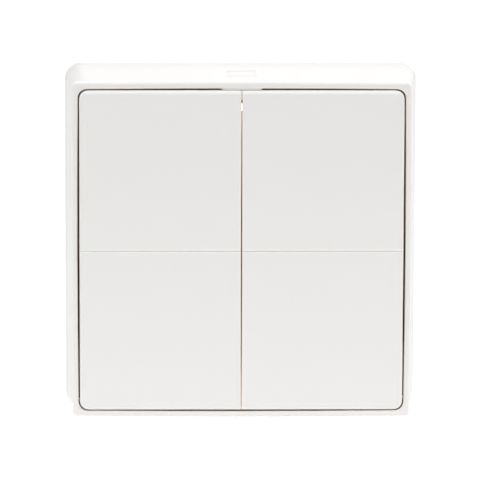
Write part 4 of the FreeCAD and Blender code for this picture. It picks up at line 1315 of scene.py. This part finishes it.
@dataclass
class CellBay:
    """The coin cell with its holder and contacts."""

    gasket_width: float = 0.45 * MM
    gasket_rise: float = 0.3 * MM
    gasket_inset: float = 0.12 * MM
    gasket_sunk: float = 0.1 * MM
    gasket_proud: float = 0.05 * MM
    gasket_sides: int = 64
    shoulder: float = 0.6 * MM

    def build(self) -> Forms:
        """Dresses the parts.

        Returns:
            The parts and the ring.
        """
        steel = Metal("cell_steel", (0.70, 0.69, 0.67), 0.28, turned=True)
        nickel = Metal("contact_nickel", (0.72, 0.69, 0.62), 0.25)
        parts = dress(steel, "coin_cell") + dress(HOLDER_BLACK, "cell_holder")
        parts += dress(nickel, "contact_negative", "contact_positive")
        return parts + [self._gasket()]

    def _gasket(self) -> Form:
        """The plastic ring between the can of the cell and its smaller pole.

        Returns:
            The piece.
        """
        low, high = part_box("coin_cell")
        level = depth_of("coin_cell") - self.shoulder
        outer = (high[0] - low[0]) / 2 - self.gasket_inset
        ends = (level - self.gasket_sunk, level + self.gasket_proud)
        ring = Piece.disc("cell_gasket", middle_of("coin_cell"), outer, ends, self.gasket_sides)
        ring.pick(Way.FRONT)
        bpy.ops.mesh.inset(thickness=self.gasket_width, depth=self.gasket_rise)
        return ring.finish(HOLDER_BLACK, Slot.HOLDER)


@dataclass(frozen=True)
class Softbox:
    """A large soft lamp.

    Args:
        name: name of the lamp.
        place: where it stands, in metres.
        side: width and height of its cloth, in metres.
        level: light that it throws on a surface at the object that faces it, where one is
            the light at which a colour renders as it is written.
    """

    name: str
    place: Point
    side: Pair
    level: float

    def build(self) -> Form:
        """Makes the lamp, turned towards the object.

        Returns:
            The lamp.
        """
        lamp = bpy.data.lights.new(self.name, "AREA")
        lamp.shape = "RECTANGLE"
        lamp.size, lamp.size_y = self.side
        reach = Vector(self.place)
        lamp.energy = self.level * math.pi**2 * reach.length_squared
        stand = bpy.data.objects.new(self.name, lamp)
        bpy.context.scene.collection.objects.link(stand)
        turn = reach.to_track_quat("Z", "Y").to_matrix().to_4x4()
        stand.matrix_world = Matrix.Translation(reach) @ turn
        stand.visible_camera = False
        return stand


@dataclass
class Studio:
    """Camera, lamps, floor and surroundings.

    Sizes and places are in metres, turns in radians, and lens and sensor in millimetres.
    """

    camera_place: Point = (-0.01963, -1.07816, 0.19198)
    camera_yaw: float = 0.01822
    camera_pitch: float = -0.17715
    camera_roll: float = 0.00277
    lens: float = 358.18
    sensor: float = 36.0
    floor_level: float = -0.32
    floor_side: float = 12.0
    floor_colour: Colour = (0.86, 0.86, 0.855)
    floor_lift: float = 0.95
    air_level: float = 0.1
    lamps: tuple[Softbox, ...] = (
        Softbox("lamp_above", (0.05, -0.24, 1.38), (1.4, 1.0), 0.21),
        Softbox("lamp_high_front", (0.1, -0.75, 1.2), (1.2, 0.8), 0.738),
        Softbox("lamp_table", (0.0, -0.13, -0.17), (0.6, 0.2), 0.785),
        Softbox("lamp_left", (-1.3, 0.0, 0.2), (0.8, 1.0), 0.44),
        Softbox("lamp_right", (1.3, 0.0, 0.2), (0.8, 1.0), 0.41),
        Softbox("lamp_behind", (0.3, 1.2, 0.6), (1.2, 1.0), 0.25),
    )

    def build(self) -> Forms:
        """Makes the studio.

        Returns:
            The camera, the floor and the lamps.
        """
        bpy.context.scene.view_settings.view_transform = "Standard"
        self._air()
        return [self._camera(), self._floor(), *(lamp.build() for lamp in self.lamps)]

    def _camera(self) -> Form:
        """The camera at the photograph's viewing angle.

        Returns:
            The camera.
        """
        data = bpy.data.cameras.new("camera")
        data.lens = self.lens
        data.sensor_width = self.sensor
        camera = bpy.data.objects.new("camera", data)
        bpy.context.scene.collection.objects.link(camera)
        yaw = Matrix.Rotation(-self.camera_yaw, 4, "Z")
        pitch = Matrix.Rotation(math.pi / 2 + self.camera_pitch, 4, "X")
        roll = Matrix.Rotation(self.camera_roll, 4, "Z")
        camera.matrix_world = Matrix.Translation(self.camera_place) @ yaw @ pitch @ roll
        bpy.context.scene.camera = camera
        return camera

    def _floor(self) -> Form:
        """A plain pale floor that keeps the object's shadow.

        Returns:
            The floor.
        """
        Piece.clear()
        bpy.ops.mesh.primitive_plane_add(size=self.floor_side, location=(0, 0, self.floor_level))
        plane = Piece.started("floor")
        plane.hold()
        floor = plane.form
        paint = LiftedPaint("floor_pale", self.floor_colour, self.floor_lift)
        floor.data.materials.append(paint.material())
        return floor

    def _air(self) -> None:
        """Even light from all around, seen as plain white."""
        world = bpy.data.worlds.new("studio_air")
        world.use_nodes = True
        bpy.context.scene.world = world
        sheet = NodeSheet(world.node_tree)
        light = sheet.white("Background", self.air_level)
        seen = sheet.white("Background", 1.0)
        mix = sheet.blended(sheet.seen_ray(), light, seen)
        sheet.node("OutputWorld", {"Surface": mix})


def main() -> None:
    """Builds each sub-assembly in order and reports its pieces."""
    logging.basicConfig(level=logging.INFO, format="%(name)s: %(message)s")
    shell = (Studio(), OuterShell(), RockerPair(), CarrierAndHousing(), HousingScrews())
    inside = (LightGuide(), KeyBank(), Electronics(), CellBay())
    for group in shell + inside:
        for piece in group.build():
            LOG.info("%s: %s", type(group).__name__, piece.name)


if __name__ == "__main__":
    main()
